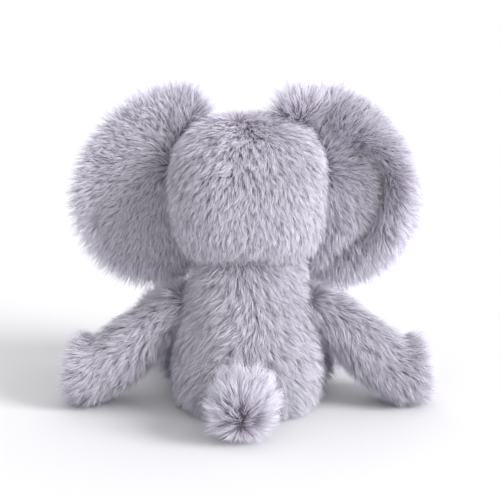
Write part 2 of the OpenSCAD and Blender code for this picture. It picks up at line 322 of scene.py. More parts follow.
def give(piece, *materials):
    """Puts the materials on a piece, in place of any that it has."""
    piece.data.materials.clear()
    for material in materials:
        piece.data.materials.append(material)


# %% [markdown]
# ## Finishes
#
# The pile is dyed one grey-lilac shade. Its roots look darker and browner, because little light gets down
# there, and its tips are frosted. Each strand differs a little from the next, and whole patches differ
# slowly, as fabric does that has been handled. The strand map carries both: its first number is the strand's
# own, and its second goes from 0 at the root to 1 at the tip.

# %% Long pile
ROOT_SHADE = colour(136, 121, 143)
TIP_SHADE = colour(213, 210, 222)


def pile_finish():
    f = Finish("long_pile")
    strand = f.add("ShaderNodeUVMap", {"uv_map": "strand"})
    own = f.add("ShaderNodeSeparateXYZ", {}, {"Vector": strand}, out=0)
    up = f.add("ShaderNodeSeparateXYZ", {}, {"Vector": strand}, out=1)
    shade = f.mix(up.ramp(0.0, 0.75), ROOT_SHADE, TIP_SHADE)
    patch = f.noise(24)
    return f.surface({
        "Base Color": f.tint(shade, 0.72 + 0.46 * own + 0.12 * (patch - 0.5)),
        "Roughness": 0.72,
        "Specular IOR Level": 0.25,
        "Sheen Weight": 0.25,
        "Sheen Roughness": 0.45,
    })


PILE = pile_finish()

# %% [markdown]
# The backing is a fine warp knit, dyed with the pile. It shows only between the roots, so its colour is
# darkened with painted shade.
# The ears' fronts, the pads on hands and feet and the trunk's end are a short pale pink velour. Its nap
# catches the light differently where a finger has brushed it: one fine noise is the nap, and a wide one the
# brushing.

# %% Cloths
def knit_finish():
    f = Finish("knit_backing_painted_shade")
    loops = f.threads(0.9, "X") * f.threads(0.9, "Z")
    cloud = f.noise(18)
    return f.surface({
        # painted shade: the backing's colours are darkened for the shade between the roots
        "Base Color": f.mix(0.6 * loops + 0.4 * cloud, colour(104, 93, 108), colour(146, 134, 150)),
        "Roughness": 0.95,
        "Normal": f.bump(loops, 0.5, 0.25),
    })


def velour_finish():
    f = Finish("short_velour")
    nap = f.noise(0.9, 4.0, 0.7)
    brushed = f.noise(16, 2.0)
    return f.surface({
        "Base Color": f.mix(0.45 * nap + 0.55 * brushed, colour(201, 163, 173), colour(235, 208, 214)),
        "Roughness": 0.62 + 0.2 * nap,
        "Sheen Weight": 0.6,
        "Sheen Roughness": 0.35,
        "Normal": f.bump(nap + 0.4 * brushed, 0.55, 0.5),
    })


SHADED_KNIT = knit_finish()
VELOUR = velour_finish()

# %% [markdown]
# Inside, the toy holds loose polyester fibre, a cotton pouch and plastic pellets. Nobody sees them while the
# seams hold, but anyone who opens the model does, so each has its own finish too. The eyes are polished
# black domes, and the washers that lock them are plain moulded plastic. Their shapes are already right
# in the frame, so they keep them and only get a better finish.

# %% Inner finishes and hardware
def fibre_finish():
    f = Finish("loose_fibre")
    hair = f.noise(1.6, 6.0, 0.75)
    clump = f.noise(12, 3.0)
    return f.surface({
        "Base Color": f.mix(0.5 * hair + 0.5 * clump, colour(214, 212, 206), colour(249, 248, 244)),
        "Roughness": 0.95,
        "Sheen Weight": 0.4,
        "Normal": f.bump(hair + clump, 0.8, 1.2),
    })


def cotton_finish():
    f = Finish("pouch_cotton")
    weave = f.threads(0.7, "X") + f.threads(0.7, "Z")
    return f.surface({
        "Base Color": f.mix(0.5 * weave, colour(206, 199, 184), colour(238, 233, 220)),
        "Roughness": 0.9,
        "Normal": f.bump(weave, 0.6, 0.2),
    })


def pellet_finish():
    f = Finish("plastic_pellets")
    batch = f.noise(3.2, 1.0)
    return f.surface({
        "Base Color": f.mix(batch, colour(222, 222, 214), colour(246, 246, 241)),
        "Roughness": 0.35 + 0.15 * batch,
        "Normal": f.bump(f.noise(1.0, 2.0), 0.2, 0.1),
    })


def eye_finish():
    f = Finish("polished_black")
    wear = f.noise(2.5, 3.0)
    return f.surface({
        "Base Color": f.mix(wear, colour(10, 9, 11), colour(24, 21, 24)),
        "Roughness": 0.06 + 0.10 * wear,
        "Coat Weight": 1.0,
        "Coat Roughness": 0.04,
        "Normal": f.bump(wear, 0.05, 0.05),
    })


def washer_finish():
    f = Finish("moulded_white")
    flow = f.noise(2.0, 3.0)
    return f.surface({
        "Base Color": f.mix(flow, colour(222, 219, 210), colour(240, 238, 231)),
        "Roughness": 0.45 + 0.15 * flow,
        "Normal": f.bump(flow, 0.15, 0.1),
    })


def thread_finish():
    f = Finish("sewing_thread")
    twist = f.threads(0.5, "DIAGONAL")
    return f.surface({
        "Base Color": f.mix(twist, colour(150, 128, 142), colour(196, 176, 188)),
        "Roughness": 0.7,
        "Normal": f.bump(twist, 0.5, 0.1),
    })


FIBRE, COTTON, PELLETS = fibre_finish(), cotton_finish(), pellet_finish()
POLISHED, MOULDED, THREAD = eye_finish(), washer_finish(), thread_finish()
for side, who in SIDES:
    give(frame["nodes"][who + "_eye"], POLISHED)
    give(frame["nodes"][who + "_eye_washer"], MOULDED)
print(len(bpy.data.materials), "finishes so far")

# %% [markdown]
# ## The pattern's sizes
#
# These are the toy's main sizes in millimetres. The frame holds the face of the pile as a hand presses it,
# so each backing lies a few millimetres further in, and the pile stands on it. Where a limb turns is read
# from the frame's joints.

# %% Pattern sizes
PILE_SINK = 3.6          # the backing lies this far inside the face of the pressed pile
SWELL = 1.4              # how far a skin may swell when it is stuffed
SEAT_R, BELLY_LOW_R, BELLY_HIGH_R = 34.0, 54.0, 44.0
BODY_H, NECK_R = 82.0, 33.0
HEAD_HALF_W, HEAD_R, HEAD_SQUARE, HEAD_LIFT = 47.5, 48.5, 3.0, 5.5
EAR_REACH, EAR_LAP, EAR_HALF_H, EAR_LEAN, EAR_UP = 58.0, 22.0, 60.0, 7.0, 1.0
EAR_DISH_R = 150.0
HAND_R, ARM_ROOT_R, ARM_REACH = 21.0, 16.0, 108.0
FOOT_R, LEG_ROOT_R, LEG_LEN, LEG_SPLAY = 25.0, 19.0, 70.0, 13.0
TAIL_R, TAIL_ROOT_R, TAIL_LEN, TAIL_LEAN = 14.5, 9.0, 36.0, 6.0
TRUNK_ROOT_R, TRUNK_END_R, TRUNK_DROP = 17.0, 11.5, 64.0
POUCH_R, POUCH_H, POUCH_Z = 26.0, 24.0, 18.25
EYE_R, EYE_OUT, EYE_TILT = 6.0, 21.0, math.radians(14)

HEAD_MIDDLE = np.array([0.0, -3.0, BODY_H + HEAD_LIFT + HEAD_R])
EAR_HINGE = joint_places["left_ear_flap"] / MM
ARM_ROOT = joint_places["left_arm_swing"] / MM
LEG_ROOT = joint_places["left_leg_swing"] / MM
TAIL_ROOT = joint_places["tail_wag"] / MM
TRUNK_ROOT = joint_places["trunk_lift"] / MM
NECK = joint_places["head_nod"] / MM
print("shoulder at", ARM_ROOT.round(1), "hip at", LEG_ROOT.round(1), "ear seam at", EAR_HINGE.round(1))


def bezier(p, t):
    """Points on the cubic curve with control points p, at each t."""
    t = np.asarray(t, dtype=float)[:, None]
    p = [np.asarray(q, dtype=float) for q in p]
    return (1 - t) ** 3 * p[0] + 3 * (1 - t) ** 2 * t * p[1] + 3 * (1 - t) * t**2 * p[2] + t**3 * p[3]


def bezier_way(p, t):
    """Unit directions of that curve at each t."""
    t = np.asarray(t, dtype=float)[:, None]
    p = [np.asarray(q, dtype=float) for q in p]
    return unit(3 * (1 - t) ** 2 * (p[1] - p[0]) + 6 * (1 - t) * t * (p[2] - p[1]) + 3 * t**2 * (p[3] - p[2]))


# %% [markdown]
# ## Body and head
#
# The body is a pear shape with a rounded neck that goes up into the head. A real one is sewn from four gores.
# It could be a turned profile and nothing more, but stuffing is never even, so a slow ripple
# moves the cloth a little in and out. The seat is left open for its own round panel.

# %% Body outline
BODY_AROUND, BODY_RINGS = 96, 66
SEAT_Z = 0.8             # the skin's edge round the seat panel lies this far above the table
BODY_SIDE = bezier(
    [(SEAT_R, 0), (BELLY_LOW_R, BODY_H * 0.045), (BELLY_HIGH_R, BODY_H * 0.68), (NECK_R, BODY_H)],
    np.linspace(0, 1, 60),
)


def body_rings(inset):
    """Rings of the body's skin, from the edge of the seat panel up to the top of the neck."""
    a = np.radians(np.linspace(2, 86, 20))
    dome = np.stack([(NECK_R - inset) * np.cos(a), BODY_H + (NECK_R - inset) * np.sin(a)], -1)
    seat = np.stack([np.linspace(SEAT_R - 6, SEAT_R - 1, 4) - inset, np.full(4, SEAT_Z)], -1)
    side = BODY_SIDE[:-1] - [inset, 0]
    line = np.concatenate([seat, np.maximum(side, SEAT_Z), dome])
    along = np.concatenate([[0], np.cumsum(np.linalg.norm(np.diff(line, axis=0), axis=1))])
    at = np.linspace(0, along[-1], BODY_RINGS)
    r, z = np.interp(at, along, line[:, 0]), np.interp(at, along, line[:, 1])
    points = turned(r, z, BODY_AROUND)
    wave = ripple(points, 45, 3) * step(z, 2, 14)[:, None]
    return points + wave[:, :, None] * circle(BODY_AROUND)


def inside_body(points, grow=0.0):
    """True where a point lies inside the body's pile face, grown by some millimetres."""
    r = np.interp(points[:, 2], BODY_SIDE[:, 1], BODY_SIDE[:, 0])
    low = (np.hypot(points[:, 0], points[:, 1]) < r + grow) & (points[:, 2] < BODY_H)
    return low | (distance(points, NECK) < NECK_R + grow)


# %% [markdown]
# The head is a rounded box turned on its side: square from behind with soft corners, and round from the
# side. Its rings run round the line from ear to ear.

# %% Head outline
HEAD_AROUND, HEAD_RINGS = 96, 74


def head_rings(inset):
    """Rings of the head's skin, from the right ear's side to the left's."""
    a = np.linspace(-0.985, 0.985, HEAD_RINGS) * math.pi / 2
    power = 2 / HEAD_SQUARE
    across = (HEAD_R - inset) * np.abs(np.cos(a)) ** power
    along = (HEAD_HALF_W - inset) * np.sign(np.sin(a)) * np.abs(np.sin(a)) ** power
    points = turned(across, along, HEAD_AROUND, (0, 1, 0), (0, 0, 1))
    return points * (1 + 0.016 * ripple(points, 60, 11))[:, :, None] + HEAD_MIDDLE


def inside_head(points, grow=0.0):
    """True where a point lies inside the head's pile face, grown by some millimetres."""
    q = points - HEAD_MIDDLE
    across = np.hypot(q[:, 1], q[:, 2]) / (HEAD_R + grow)
    along = np.abs(q[:, 0]) / (HEAD_HALF_W + grow)
    return across**HEAD_SQUARE + along**HEAD_SQUARE < 1


def head_r_at(x):
    """The head's radius across it at x."""
    return HEAD_R * (1 - (abs(x) / HEAD_HALF_W) ** HEAD_SQUARE) ** (1 / HEAD_SQUARE)


EYE_WAY = np.array([0, -math.cos(EYE_TILT), math.sin(EYE_TILT)])
EYE = HEAD_MIDDLE + head_r_at(EYE_OUT) * EYE_WAY + [EYE_OUT, 0, 0]

# %% [markdown]
# ## Arms, legs, trunk and tail
#
# Each of these is a sleeve lofted along a curve. Its radius changes on the way, its root is rounded and
# lies in the body, and its end is flat where a pad closes it.

# %% Sleeves
ROOT_TURNS_DEG = [14, 30, 46, 62, 76]     # where the rounded root's rings lie, as angles from its pole


class Sleeve:
    """A sleeve along a curve with four control points; radii is places along it and the radius at each."""

    def __init__(self, path, radii, root_r, across):
        self.path = [np.asarray(p, dtype=float) for p in path]
        self.radii, self.root_r, self.across = radii, root_r, np.asarray(across, dtype=float)

    def frame_at(self, t):
        """Centres, ways and two cross directions at each t."""
        way = bezier_way(self.path, t)
        u = unit(np.cross(self.across, way))
        return bezier(self.path, t), way, u, np.cross(way, u)

    def rings(self, inset, around=64, steps=44, lump=0.6, seed=1, folds=0.0):
        """Rings from the rounded root to the end. folds gives it creases across, as in a bent trunk."""
        ball = self.root_r - inset
        centre, way, u, v = self.frame_at([0.0])
        out = []
        for a in np.radians(ROOT_TURNS_DEG):
            c = centre[0] - way[0] * ball * math.cos(a)
            out.append(c + ball * math.sin(a) * circle(around, u[0], v[0]))
        t = np.linspace(0, 1 - 0.001 * inset, steps)
        centre, way, u, v = self.frame_at(t)
        r = np.interp(t, *self.radii) - inset + folds * np.sin(t * 16 * math.pi) * step(t, 0.2, 0.4)
        for i in range(steps):
            out.append(centre[i] + r[i] * circle(around, u[i], v[i]))
        points = np.array(out)
        away = unit(points - points.mean(1, keepdims=True))
        return points + away * (lump * ripple(points, 34, seed))[..., None]

    def along(self, points):
        """For each point, the nearest place on the curve: t, the curve's way there and its centre."""
        t = np.linspace(0, 1, 60)
        centre, way, _, _ = self.frame_at(t)
        near = ((points[:, None, :] - centre[None]) ** 2).sum(-1).argmin(1)
        return t[near], way[near], centre[near]


ARM_SPAN = ARM_REACH - ARM_ROOT[0]
HAND_Z, FOOT_Z, TAIL_Z = HAND_R + 0.3, FOOT_R + 0.3, TAIL_R + 0.3
ARM = Sleeve(
    [ARM_ROOT, ARM_ROOT + [ARM_SPAN * 0.34, 2, -ARM_ROOT_R * 0.5],
     [ARM_REACH - ARM_SPAN * 0.42, 6, HAND_Z - 2], [ARM_REACH, 0, HAND_Z + 2]],
    [[0, 0.12, 0.45, 0.74, 0.88, 0.96, 1],
     [ARM_ROOT_R * 0.84, ARM_ROOT_R * 0.87, HAND_R * 0.82, HAND_R * 0.9, HAND_R, HAND_R - 0.8, HAND_R - 3.4]],
    ARM_ROOT_R, (0, 1, 0),
)
LEG_WAY = np.array([math.sin(math.radians(LEG_SPLAY)), -math.cos(math.radians(LEG_SPLAY)), 0])
LEG_FOOT = LEG_ROOT * [1, 1, 0]
LEG = Sleeve(
    [LEG_ROOT, LEG_ROOT + LEG_WAY * LEG_LEN * 0.35,
     LEG_FOOT + [0, 0, FOOT_Z - 2] + LEG_WAY * LEG_LEN * 0.66,
     LEG_FOOT + [0, 0, FOOT_Z + 4] + LEG_WAY * LEG_LEN],
    [[0, 0.14, 0.45, 0.8, 0.9, 0.96, 1],
     [LEG_ROOT_R * 0.86, LEG_ROOT_R * 0.87, LEG_ROOT_R, FOOT_R - 0.6, FOOT_R, FOOT_R - 0.8, FOOT_R - 3.6]],
    LEG_ROOT_R, (0, 0, 1),
)
TAIL = Sleeve(
    [TAIL_ROOT, TAIL_ROOT + [0, TAIL_LEN * 0.34, -3],
     [TAIL_LEAN * 0.5, TAIL_ROOT[1] + TAIL_LEN * 0.6, TAIL_Z + 6],
     [TAIL_LEAN, TAIL_ROOT[1] + TAIL_LEN, TAIL_Z + 3]],
    [[0, 0.15, 0.5, 0.85, 0.94, 1],
     [TAIL_ROOT_R * 0.8, TAIL_ROOT_R * 0.85, TAIL_R, TAIL_R, TAIL_R - 1.5, TAIL_R - 5]],
    TAIL_ROOT_R, (1, 0, 0),
)
TRUNK = Sleeve(
    [TRUNK_ROOT, TRUNK_ROOT + [0, -33, -12],
     TRUNK_ROOT + [0, -17, -TRUNK_DROP], TRUNK_ROOT + [0, -41, -TRUNK_DROP]],
    [[0, 0.2, 0.9, 0.96, 1],
     [TRUNK_ROOT_R * 0.86, TRUNK_ROOT_R * 0.9, TRUNK_END_R, TRUNK_END_R, TRUNK_END_R - 1]],
    TRUNK_ROOT_R, (1, 0, 0),
)
print("hand, foot and tail's end at", *[sleeve.path[3].round(1) for sleeve in (ARM, LEG, TAIL)])

# %% [markdown]
# ## Ears
#
# An ear is two panels sewn together round the rim, with wadding between them: long pile behind, pink velour
# in front. The seam is shorter than the panels are wide, so the ear bends like a dish. The top lobe and the
# bottom lobe run in past the seam, in front of the head's corners. On the right ear the rim has rolled
# back, as happens when a toy has been packed: it leaves a shallow hollow with a crease round it.

# %% Ear shape
EAR_AROUND, EAR_RINGS = 128, 26
EAR_MIDDLE = 15.0                   # the panels' middle lies this far out from the hinge
EAR_SEWN_IN = 6.0                   # an ear's cloth ends this deep inside the head
# the rolled ear's crease: directions in degrees from straight out, and its share of the way to the rim
CREASE_TURNS = [-180, -100, -77, -30, 0, 35, 65, 95, 140, 180]
CREASE_SHARES = [0.95, 0.80, 0.55, 0.50, 0.54, 0.54, 0.46, 0.40, 0.60, 0.95]
POCKET = np.array([-3.5, 42.0])     # the curl's pocket on the right ear, in x and z from the hinge
POCKET_R = 6.5


def crease_share(angle):
    """The crease's share of the way to the rim, and how deep it is there, in directions given as angles."""
    turn = np.degrees((np.asarray(angle) + math.pi) % (2 * math.pi) - math.pi)
    edge = np.interp(turn, CREASE_TURNS, CREASE_SHARES) + 0.02 * np.sin(np.radians(turn) * 5)
    depth = step(turn, -112, -60) * (1 - step(turn, 50, 118)) * (0.8 + 0.2 * np.sin(np.radians(turn) * 3 + 1))
    return edge, depth


def pocket_at(x, z):
    """1 in the middle of the pocket and 0 away from it."""
    far = (x - EAR_HINGE[0] - POCKET[0]) ** 2 + (z - EAR_HINGE[2] - POCKET[1]) ** 2
    return np.exp(-far / (2 * POCKET_R**2))


def ear_rim(side):
    """Rim points of an ear as x and z from its hinge line."""
    turn = np.linspace(0, 2 * math.pi, EAR_AROUND, endpoint=False)
    c, s = np.cos(turn), np.sin(turn)
    top_lap, low_lap = (5.0, 9.0) if side == 1 else (17.0, 9.0)
    lap = EAR_LAP + top_lap * step(s, 0.1, 0.9) + low_lap * step(-s, 0.1, 0.8)
    x = np.where(c > 0, EAR_REACH, lap) * c - EAR_LEAN * s
    z = EAR_HALF_H * s + EAR_UP
    if side == -1:
        z = z + 4.0 * np.exp(-(((np.degrees(turn) - 112) / 16) ** 2))
    return turn, x - 2 * c, z - 2 * s


def ear_panels(side, puff=1.0):
    """Rings of an ear's back and front from the middle out to the rim that they share, on the left side."""
    turn, rim_x, rim_z = ear_rim(side)
    middle_x, middle_z = EAR_MIDDLE, EAR_UP
    share = np.linspace(0.02, 1, EAR_RINGS)[:, None]
    x = EAR_HINGE[0] + middle_x + (rim_x - middle_x)[None] * share
    z = EAR_HINGE[2] + middle_z + (rim_z - middle_z)[None] * share
    far = np.hypot(x - EAR_HINGE[0] - EAR_REACH * 0.35, z - EAR_HINGE[2])
    y = EAR_HINGE[1] - far**2 / (2 * EAR_DISH_R)
    if side == -1:
        edge, depth = crease_share(turn)
        roll = 8.5 * np.exp(-(((share - edge - 0.26) / 0.17) ** 2))
        crease = -5.0 * np.exp(-(((share - edge) / 0.11) ** 2))
        y = y + (roll + crease) * depth - 8.0 * pocket_at(x, z)
    else:
        y = y + 3.0 * step(share, 0.75, 1.0) * step(np.cos(turn), -0.25, 0.35)[None]
    lobe = step(z - EAR_HINGE[2], 22, 52) * step(EAR_HINGE[0] - x, -8, 18)
    y = y + (20.0 if side == -1 else 8.0) * lobe
    thick = 4.6 * puff * np.sqrt(np.clip(1 - share**3.0, 0, 1)) * np.ones_like(x)
    sheet = np.stack([x, y, z], -1)
    wave = ripple(sheet, 38, 21 + side)
    up = np.stack([0 * x, np.ones_like(x), 0 * x], -1)
    back = sheet + up * (thick * (1 + 0.15 * wave) + 0.8 * wave)[..., None]
    front = sheet - up * (thick * (0.8 - 0.1 * wave) - 0.8 * wave)[..., None]
    # low on its inner side the lining has rolled out past the seam, and shows from behind
    rolled = np.exp(-(((np.degrees(turn) - 246) / 13) ** 2)) * (1.0 if side == 1 else 0.5)
    away = unit(np.stack([rim_x - middle_x, 0 * rim_x, rim_z - middle_z], -1))
    for ring, amount in ((-1, 1.0), (-2, 0.45)):
        front[ring] += (away * 5.0 + [0, 6.0, 0]) * (rolled * amount)[:, None]
    return back, front


def ear_place(points):
    """For points on a left ear: share of the way to the rim and the direction, as an angle."""
    x = points[:, 0] - EAR_HINGE[0] - EAR_MIDDLE
    z = points[:, 2] - EAR_HINGE[2] - EAR_UP
    angle = np.arctan2(z, x)
    reach = np.where(x > 0, EAR_REACH - EAR_MIDDLE, EAR_LAP + EAR_MIDDLE)
    return np.hypot(x / reach, z / EAR_HALF_H), angle


# %% [markdown]
# ## Sewing the skins
#
# Each skin becomes a piece that rides on its body and takes the place of the plain solid in the frame.
# The class keeps its points next to it, because the pile grows from them later.

# %% Skins
SKINS = {}


class Skin:
    """A sewn cloth of the toy: its piece, its points in mm and its faces."""

    def __init__(self, name, grid, body, node, cloth, pinned, fill, slot):
        self.points, self.quads, self.tris = grid
        self.piece = make_mesh(name, *grid)
        self.pinned = np.asarray(pinned, dtype=float)
        give(self.piece, cloth)
        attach(self.piece, body)
        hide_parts(node)
        self.body = body
        SKINS[name] = self


def seam_weights(count, around, held_rings=(), held_lines=(), extra=0):
    """1 where a grid's points are held by a seam: whole rings, or lines that cross every ring."""
    held = np.zeros((count, around))
    held[list(held_rings)] = 1
    for k in held_lines:
        held[:, k] = 1
    return np.concatenate([held.ravel(), np.ones(extra)])


SKIN_IN = PILE_SINK + SWELL / 2
rings = body_rings(SKIN_IN)
Skin("body_skin_cloth", wrap_grid(rings, close_first=False), "torso", "body_skin", SHADED_KNIT,
     seam_weights(BODY_RINGS, BODY_AROUND, (0, 1, -1, -2), (0, 24, 48, 72), 1), 0.8, "long_pile")
rings = head_rings(SKIN_IN)
Skin("head_skin_cloth", wrap_grid(rings), "head", "head_skin", SHADED_KNIT,
     seam_weights(HEAD_RINGS, HEAD_AROUND, (0, 1, 2, 36, 37, -3, -2, -1), (), 2), 0.85, "long_pile")

SLEEVES = (("arm", ARM, 41), ("leg", LEG, 51))


def sew_sleeve(name, sleeve, side, seed, **more):
    """A sleeve's skin, with its seam along the underside."""
    rings = rings_to_side(sleeve.rings(SKIN_IN, seed=seed, **more), side)
    held = seam_weights(len(rings), rings.shape[1], (0, 1, -2, -1), (16,), 2)
    return Skin(name + "_skin_cloth", wrap_grid(rings), name, name + "_skin", SHADED_KNIT, held, 0.7, "long_pile")


for side, who in SIDES:
    for kind, sleeve, seed in SLEEVES:
        sew_sleeve(who + "_" + kind, sleeve, side, seed + side)
sew_sleeve("trunk", TRUNK, 1, 61, lump=0.3, folds=0.5)
sew_sleeve("tail", TAIL, 1, 71)


def trim_ear(grid, depth):
    """Leaves out the faces of an ear that lie deep inside the head, where the ear is sewn in."""
    points, quads, tris = grid
    deep = inside_head(np.where(points[:, :1] < 0, mirror_x(points), points), -depth)
    keep_quads, keep_tris = ~deep[quads].all(1), ~deep[tris].all(1)
    quads, tris = quads[keep_quads], tris[keep_tris]
    used = np.unique(np.concatenate([quads.ravel(), tris.ravel()]))
    number = np.full(len(points), -1)
    number[used] = np.arange(len(used))
    return (points[used], number[quads], number[tris]), used


for side, who in SIDES:
    back, front = ear_panels(side)
    for part, rings, cloth, slot in (("back", back, SHADED_KNIT, "long_pile"),
                                     ("lining", front[:, ::-1], VELOUR, "short_pile")):
        grid, used = trim_ear(wrap_grid(rings_to_side(rings, side), close_last=False), EAR_SEWN_IN)
        held = seam_weights(EAR_RINGS, EAR_AROUND, (-1,), (), 1)[used]
        held[inside_head(to_side(grid[0], side), -1)] = 1
        Skin(f"{who}_ear_{part}_cloth", grid, who + "_ear", f"{who}_ear_{part}", cloth, held, 0.5, slot)
print(len(SKINS), "skins, with", sum(len(s.points) for s in SKINS.values()), "points")

# %% [markdown]
# ## Pads
#
# The palms, the soles and the trunk's end are round pads of the pink velour. Each is a thin lens: it is held
# by its seam all round, and the stuffing behind pushes its middle out.

# %% Pads
def lens_rings(centre, way, radius, bulge, around=48, rows=9):
    """Rings of a lens that faces along way: from the middle of its front, over the rim, to the back."""
    way = unit(np.asarray(way, dtype=float))
    u = unit(np.cross(way, [0.1, 0.2, 1.0]))
    circled = circle(around, u, np.cross(way, u))
    front = [(s, bulge * (1 - s**2.4)) for s in np.linspace(0.06, 1, rows)]
    back = [(s, -0.8 * bulge * (1 - s**2)) for s in np.linspace(0.9, 0.1, rows - 3)]
    return np.array([centre + way * h + radius * s * circled for s, h in front + back]), rows - 1


PADS = []
PAD_IN, SEAT_IN = 5.5, 3.0          # how much smaller a pad's and the seat panel's radius are


def sew_pad(name, sleeve, side, body, node, radius, bulge):
    """A pad on a sleeve's end; its rim is kept for the stitches."""
    way = sleeve.frame_at([1.0])[1][0]
    rings, rim = lens_rings(sleeve.path[3] + 0.3 * way, way, radius, bulge)
    rings = rings_to_side(rings[:, ::-1], side)
    held = seam_weights(len(rings), rings.shape[1], (rim,), (), 2)
    held[:-2].reshape(len(rings), -1)[rim + 1:] = 1
    Skin(name, wrap_grid(rings), body, node, VELOUR, held, 0.6, "short_pile")
    PADS.append((name, body, rings[rim], to_side(way, side)))


for side, who in SIDES:
    sew_pad(who + "_hand_pad_cloth", ARM, side, who + "_arm", who + "_hand_pad", HAND_R - PAD_IN, 2.0)
    sew_pad(who + "_sole_pad_cloth", LEG, side, who + "_leg", who + "_sole_pad", FOOT_R - PAD_IN, 2.2)
sew_pad("trunk_end_cloth", TRUNK, 1, "trunk", "trunk_end_disc", TRUNK_END_R - 2.6, 1.4)
rings, rim = lens_rings(np.array([0, 0, 2.4]), (0, 0, -1), SEAT_R - SEAT_IN, 1.8, around=64, rows=12)
Skin("seat_panel_cloth", wrap_grid(rings[:, ::-1]), "torso", "seat_panel", SHADED_KNIT,
     seam_weights(len(rings), rings.shape[1], range(rim, len(rings)), (), 2), 0.4, "long_pile")
print(len(PADS), "pads and the seat panel")

# %% [markdown]
# ## Stuffing the skins
#
# Stuffing pushes a cloth out everywhere except where a seam holds it. Blender's cloth simulation does just
# that: pressure inside, gravity off, and the seams pinned. All the skins are simulated together over a few
# frames, and no point may move further than a set cap. The result is written into the meshes and the
# simulation is taken off again.

# %% Swell
SWELL_FRAMES = 14


def stuff(skins, pressure=2.0):
    """Swells the skins under pressure and keeps the result."""
    for skin in skins:
        group = skin.piece.vertex_groups.new(name="seams")
        group.add([int(i) for i in np.nonzero(skin.pinned > 0.5)[0]], 1.0, "REPLACE")
        cloth = skin.piece.modifiers.new("stuffing", "CLOTH")
        cloth.settings.vertex_group_mass = "seams"
        cloth.settings.use_pressure = True
        cloth.settings.uniform_pressure_force = pressure
        cloth.settings.effector_weights.gravity = 0
        cloth.settings.mass = 0.1
        cloth.settings.tension_stiffness = cloth.settings.compression_stiffness = 6
        cloth.settings.bending_stiffness = 0.4
        cloth.collision_settings.use_collision = False
        cloth.point_cache.frame_start, cloth.point_cache.frame_end = 1, SWELL_FRAMES
    scene = bpy.context.scene
    for number in range(1, SWELL_FRAMES + 1):
        scene.frame_set(number)
    view = bpy.context.evaluated_depsgraph_get()
    for skin in skins:
        mesh = skin.piece.evaluated_get(view).data
        moved = np.empty(len(mesh.vertices) * 3, dtype=np.float32)
        mesh.vertices.foreach_get("co", moved)
        push = moved.reshape(-1, 3).astype(float) / MM - skin.points
        far = np.linalg.norm(push, axis=1, keepdims=True)
        far = np.where(np.isfinite(far), far, 0)
        push = np.where(np.isfinite(push), push, 0)
        skin.points = skin.points + push * np.minimum(1, SWELL / np.maximum(far, 1e-6))
        skin.swelled = float(np.minimum(far, SWELL).mean())
    for skin in skins:
        skin.piece.modifiers.clear()
        skin.piece.vertex_groups.clear()
        skin.piece.data.vertices.foreach_set("co", (skin.points * MM).astype(np.float32).ravel())
        skin.piece.data.update()
    scene.frame_set(1)


stuff(list(SKINS.values()))
print("swelled by, in mm:", {n: round(s.swelled, 2) for n, s in SKINS.items()})

# %% [markdown]
# ## The pile
#
# Long pile isn't hair that stands alone. Its fibres cling together in small locks that share a tip, and
# between the locks the eye sees down to the darker roots. Particle hair could be combed by hand, but it
# wouldn't be part of the model's mesh. So each strand here is a ribbon that narrows to a point, it belongs to
# a lock, and it bends from its own root towards the lock's tip. Shorter single blades fill in between.

# %% Where strands stand
def sample_surface(points, quads, tris, per_mm2, rng):
    """Random places on a skin, evenly spread: positions and smooth normals."""
    faces = np.concatenate([quads[:, [0, 1, 2]], quads[:, [0, 2, 3]], tris])
    a, b, c = points[faces[:, 0]], points[faces[:, 1]], points[faces[:, 2]]
    cross = np.cross(b - a, c - a)
    area = np.linalg.norm(cross, axis=1) / 2
    normals = np.zeros_like(points)
    for k in range(3):
        np.add.at(normals, faces[:, k], cross)
    normals = unit(normals)
    total = area.sum()
    count = int(total * per_mm2)
    pick = np.searchsorted(np.cumsum(area) / total, (np.arange(count) + rng.random(count)) / count)
    pick = np.minimum(pick, len(faces) - 1)
    s, t = rng.random(count), rng.random(count)
    flip = s + t > 1
    s[flip], t[flip] = 1 - s[flip], 1 - t[flip]
    w = np.stack([1 - s - t, s, t], -1)
    f = faces[pick]
    return (points[f] * w[..., None]).sum(1), unit((normals[f] * w[..., None]).sum(1))


def lock_of(roots, size, seed):
    """Groups roots into locks: each root joins the nearest of many scattered centres, one per cell."""
    cell = np.floor(roots / size).astype(np.int64)
    best = np.full(len(roots), np.inf)
    name = np.zeros(len(roots), dtype=np.int64)
    for shift in np.ndindex(3, 3, 3):
        c = cell + np.array(shift) - 1
        key = (c[:, 0] * 73856093) ^ (c[:, 1] * 19349663) ^ (c[:, 2] * 83492791) ^ (seed * 2654435761)
        mixed = key & 0xFFFFFFFF
        spot = []
        for k in range(3):
            mixed = (mixed * 1664525 + 1013904223 + k) & 0xFFFFFFFF
            spot.append(((mixed >> 8) & 0xFFFF) / 65536.0)
        far = ((roots - (c + np.stack(spot, -1)) * size) ** 2).sum(1)
        near = far < best
        best = np.where(near, far, best)
        name = np.where(near, key, name)
    return np.unique(name, return_inverse=True)[1]


def group_mean(values, number, groups):
    """The mean of values over each group."""
    total = np.stack([np.bincount(number, values[:, k], groups) for k in range(values.shape[1])], -1)
    return total / np.maximum(np.bincount(number, minlength=groups), 1)[:, None]


# %% [markdown]
# A coat is described by a few plain things: how the pile is brushed, how long it is, how far it leans, how
# big its locks are and how much they cling. The way it is brushed, its length, its lean and its lightness can
# change over the skin, so that fabric that has been pressed looks pressed, and the crown stands up. The
# changes of lightness paint light and shade into the pile: lighter over the top and the ear rims, darker in
# creases, in the curled ear's pocket and toward the seat.

# %% Grow a coat
FLOOR_GAP = 0.25         # strands that meet the table lie this far above it


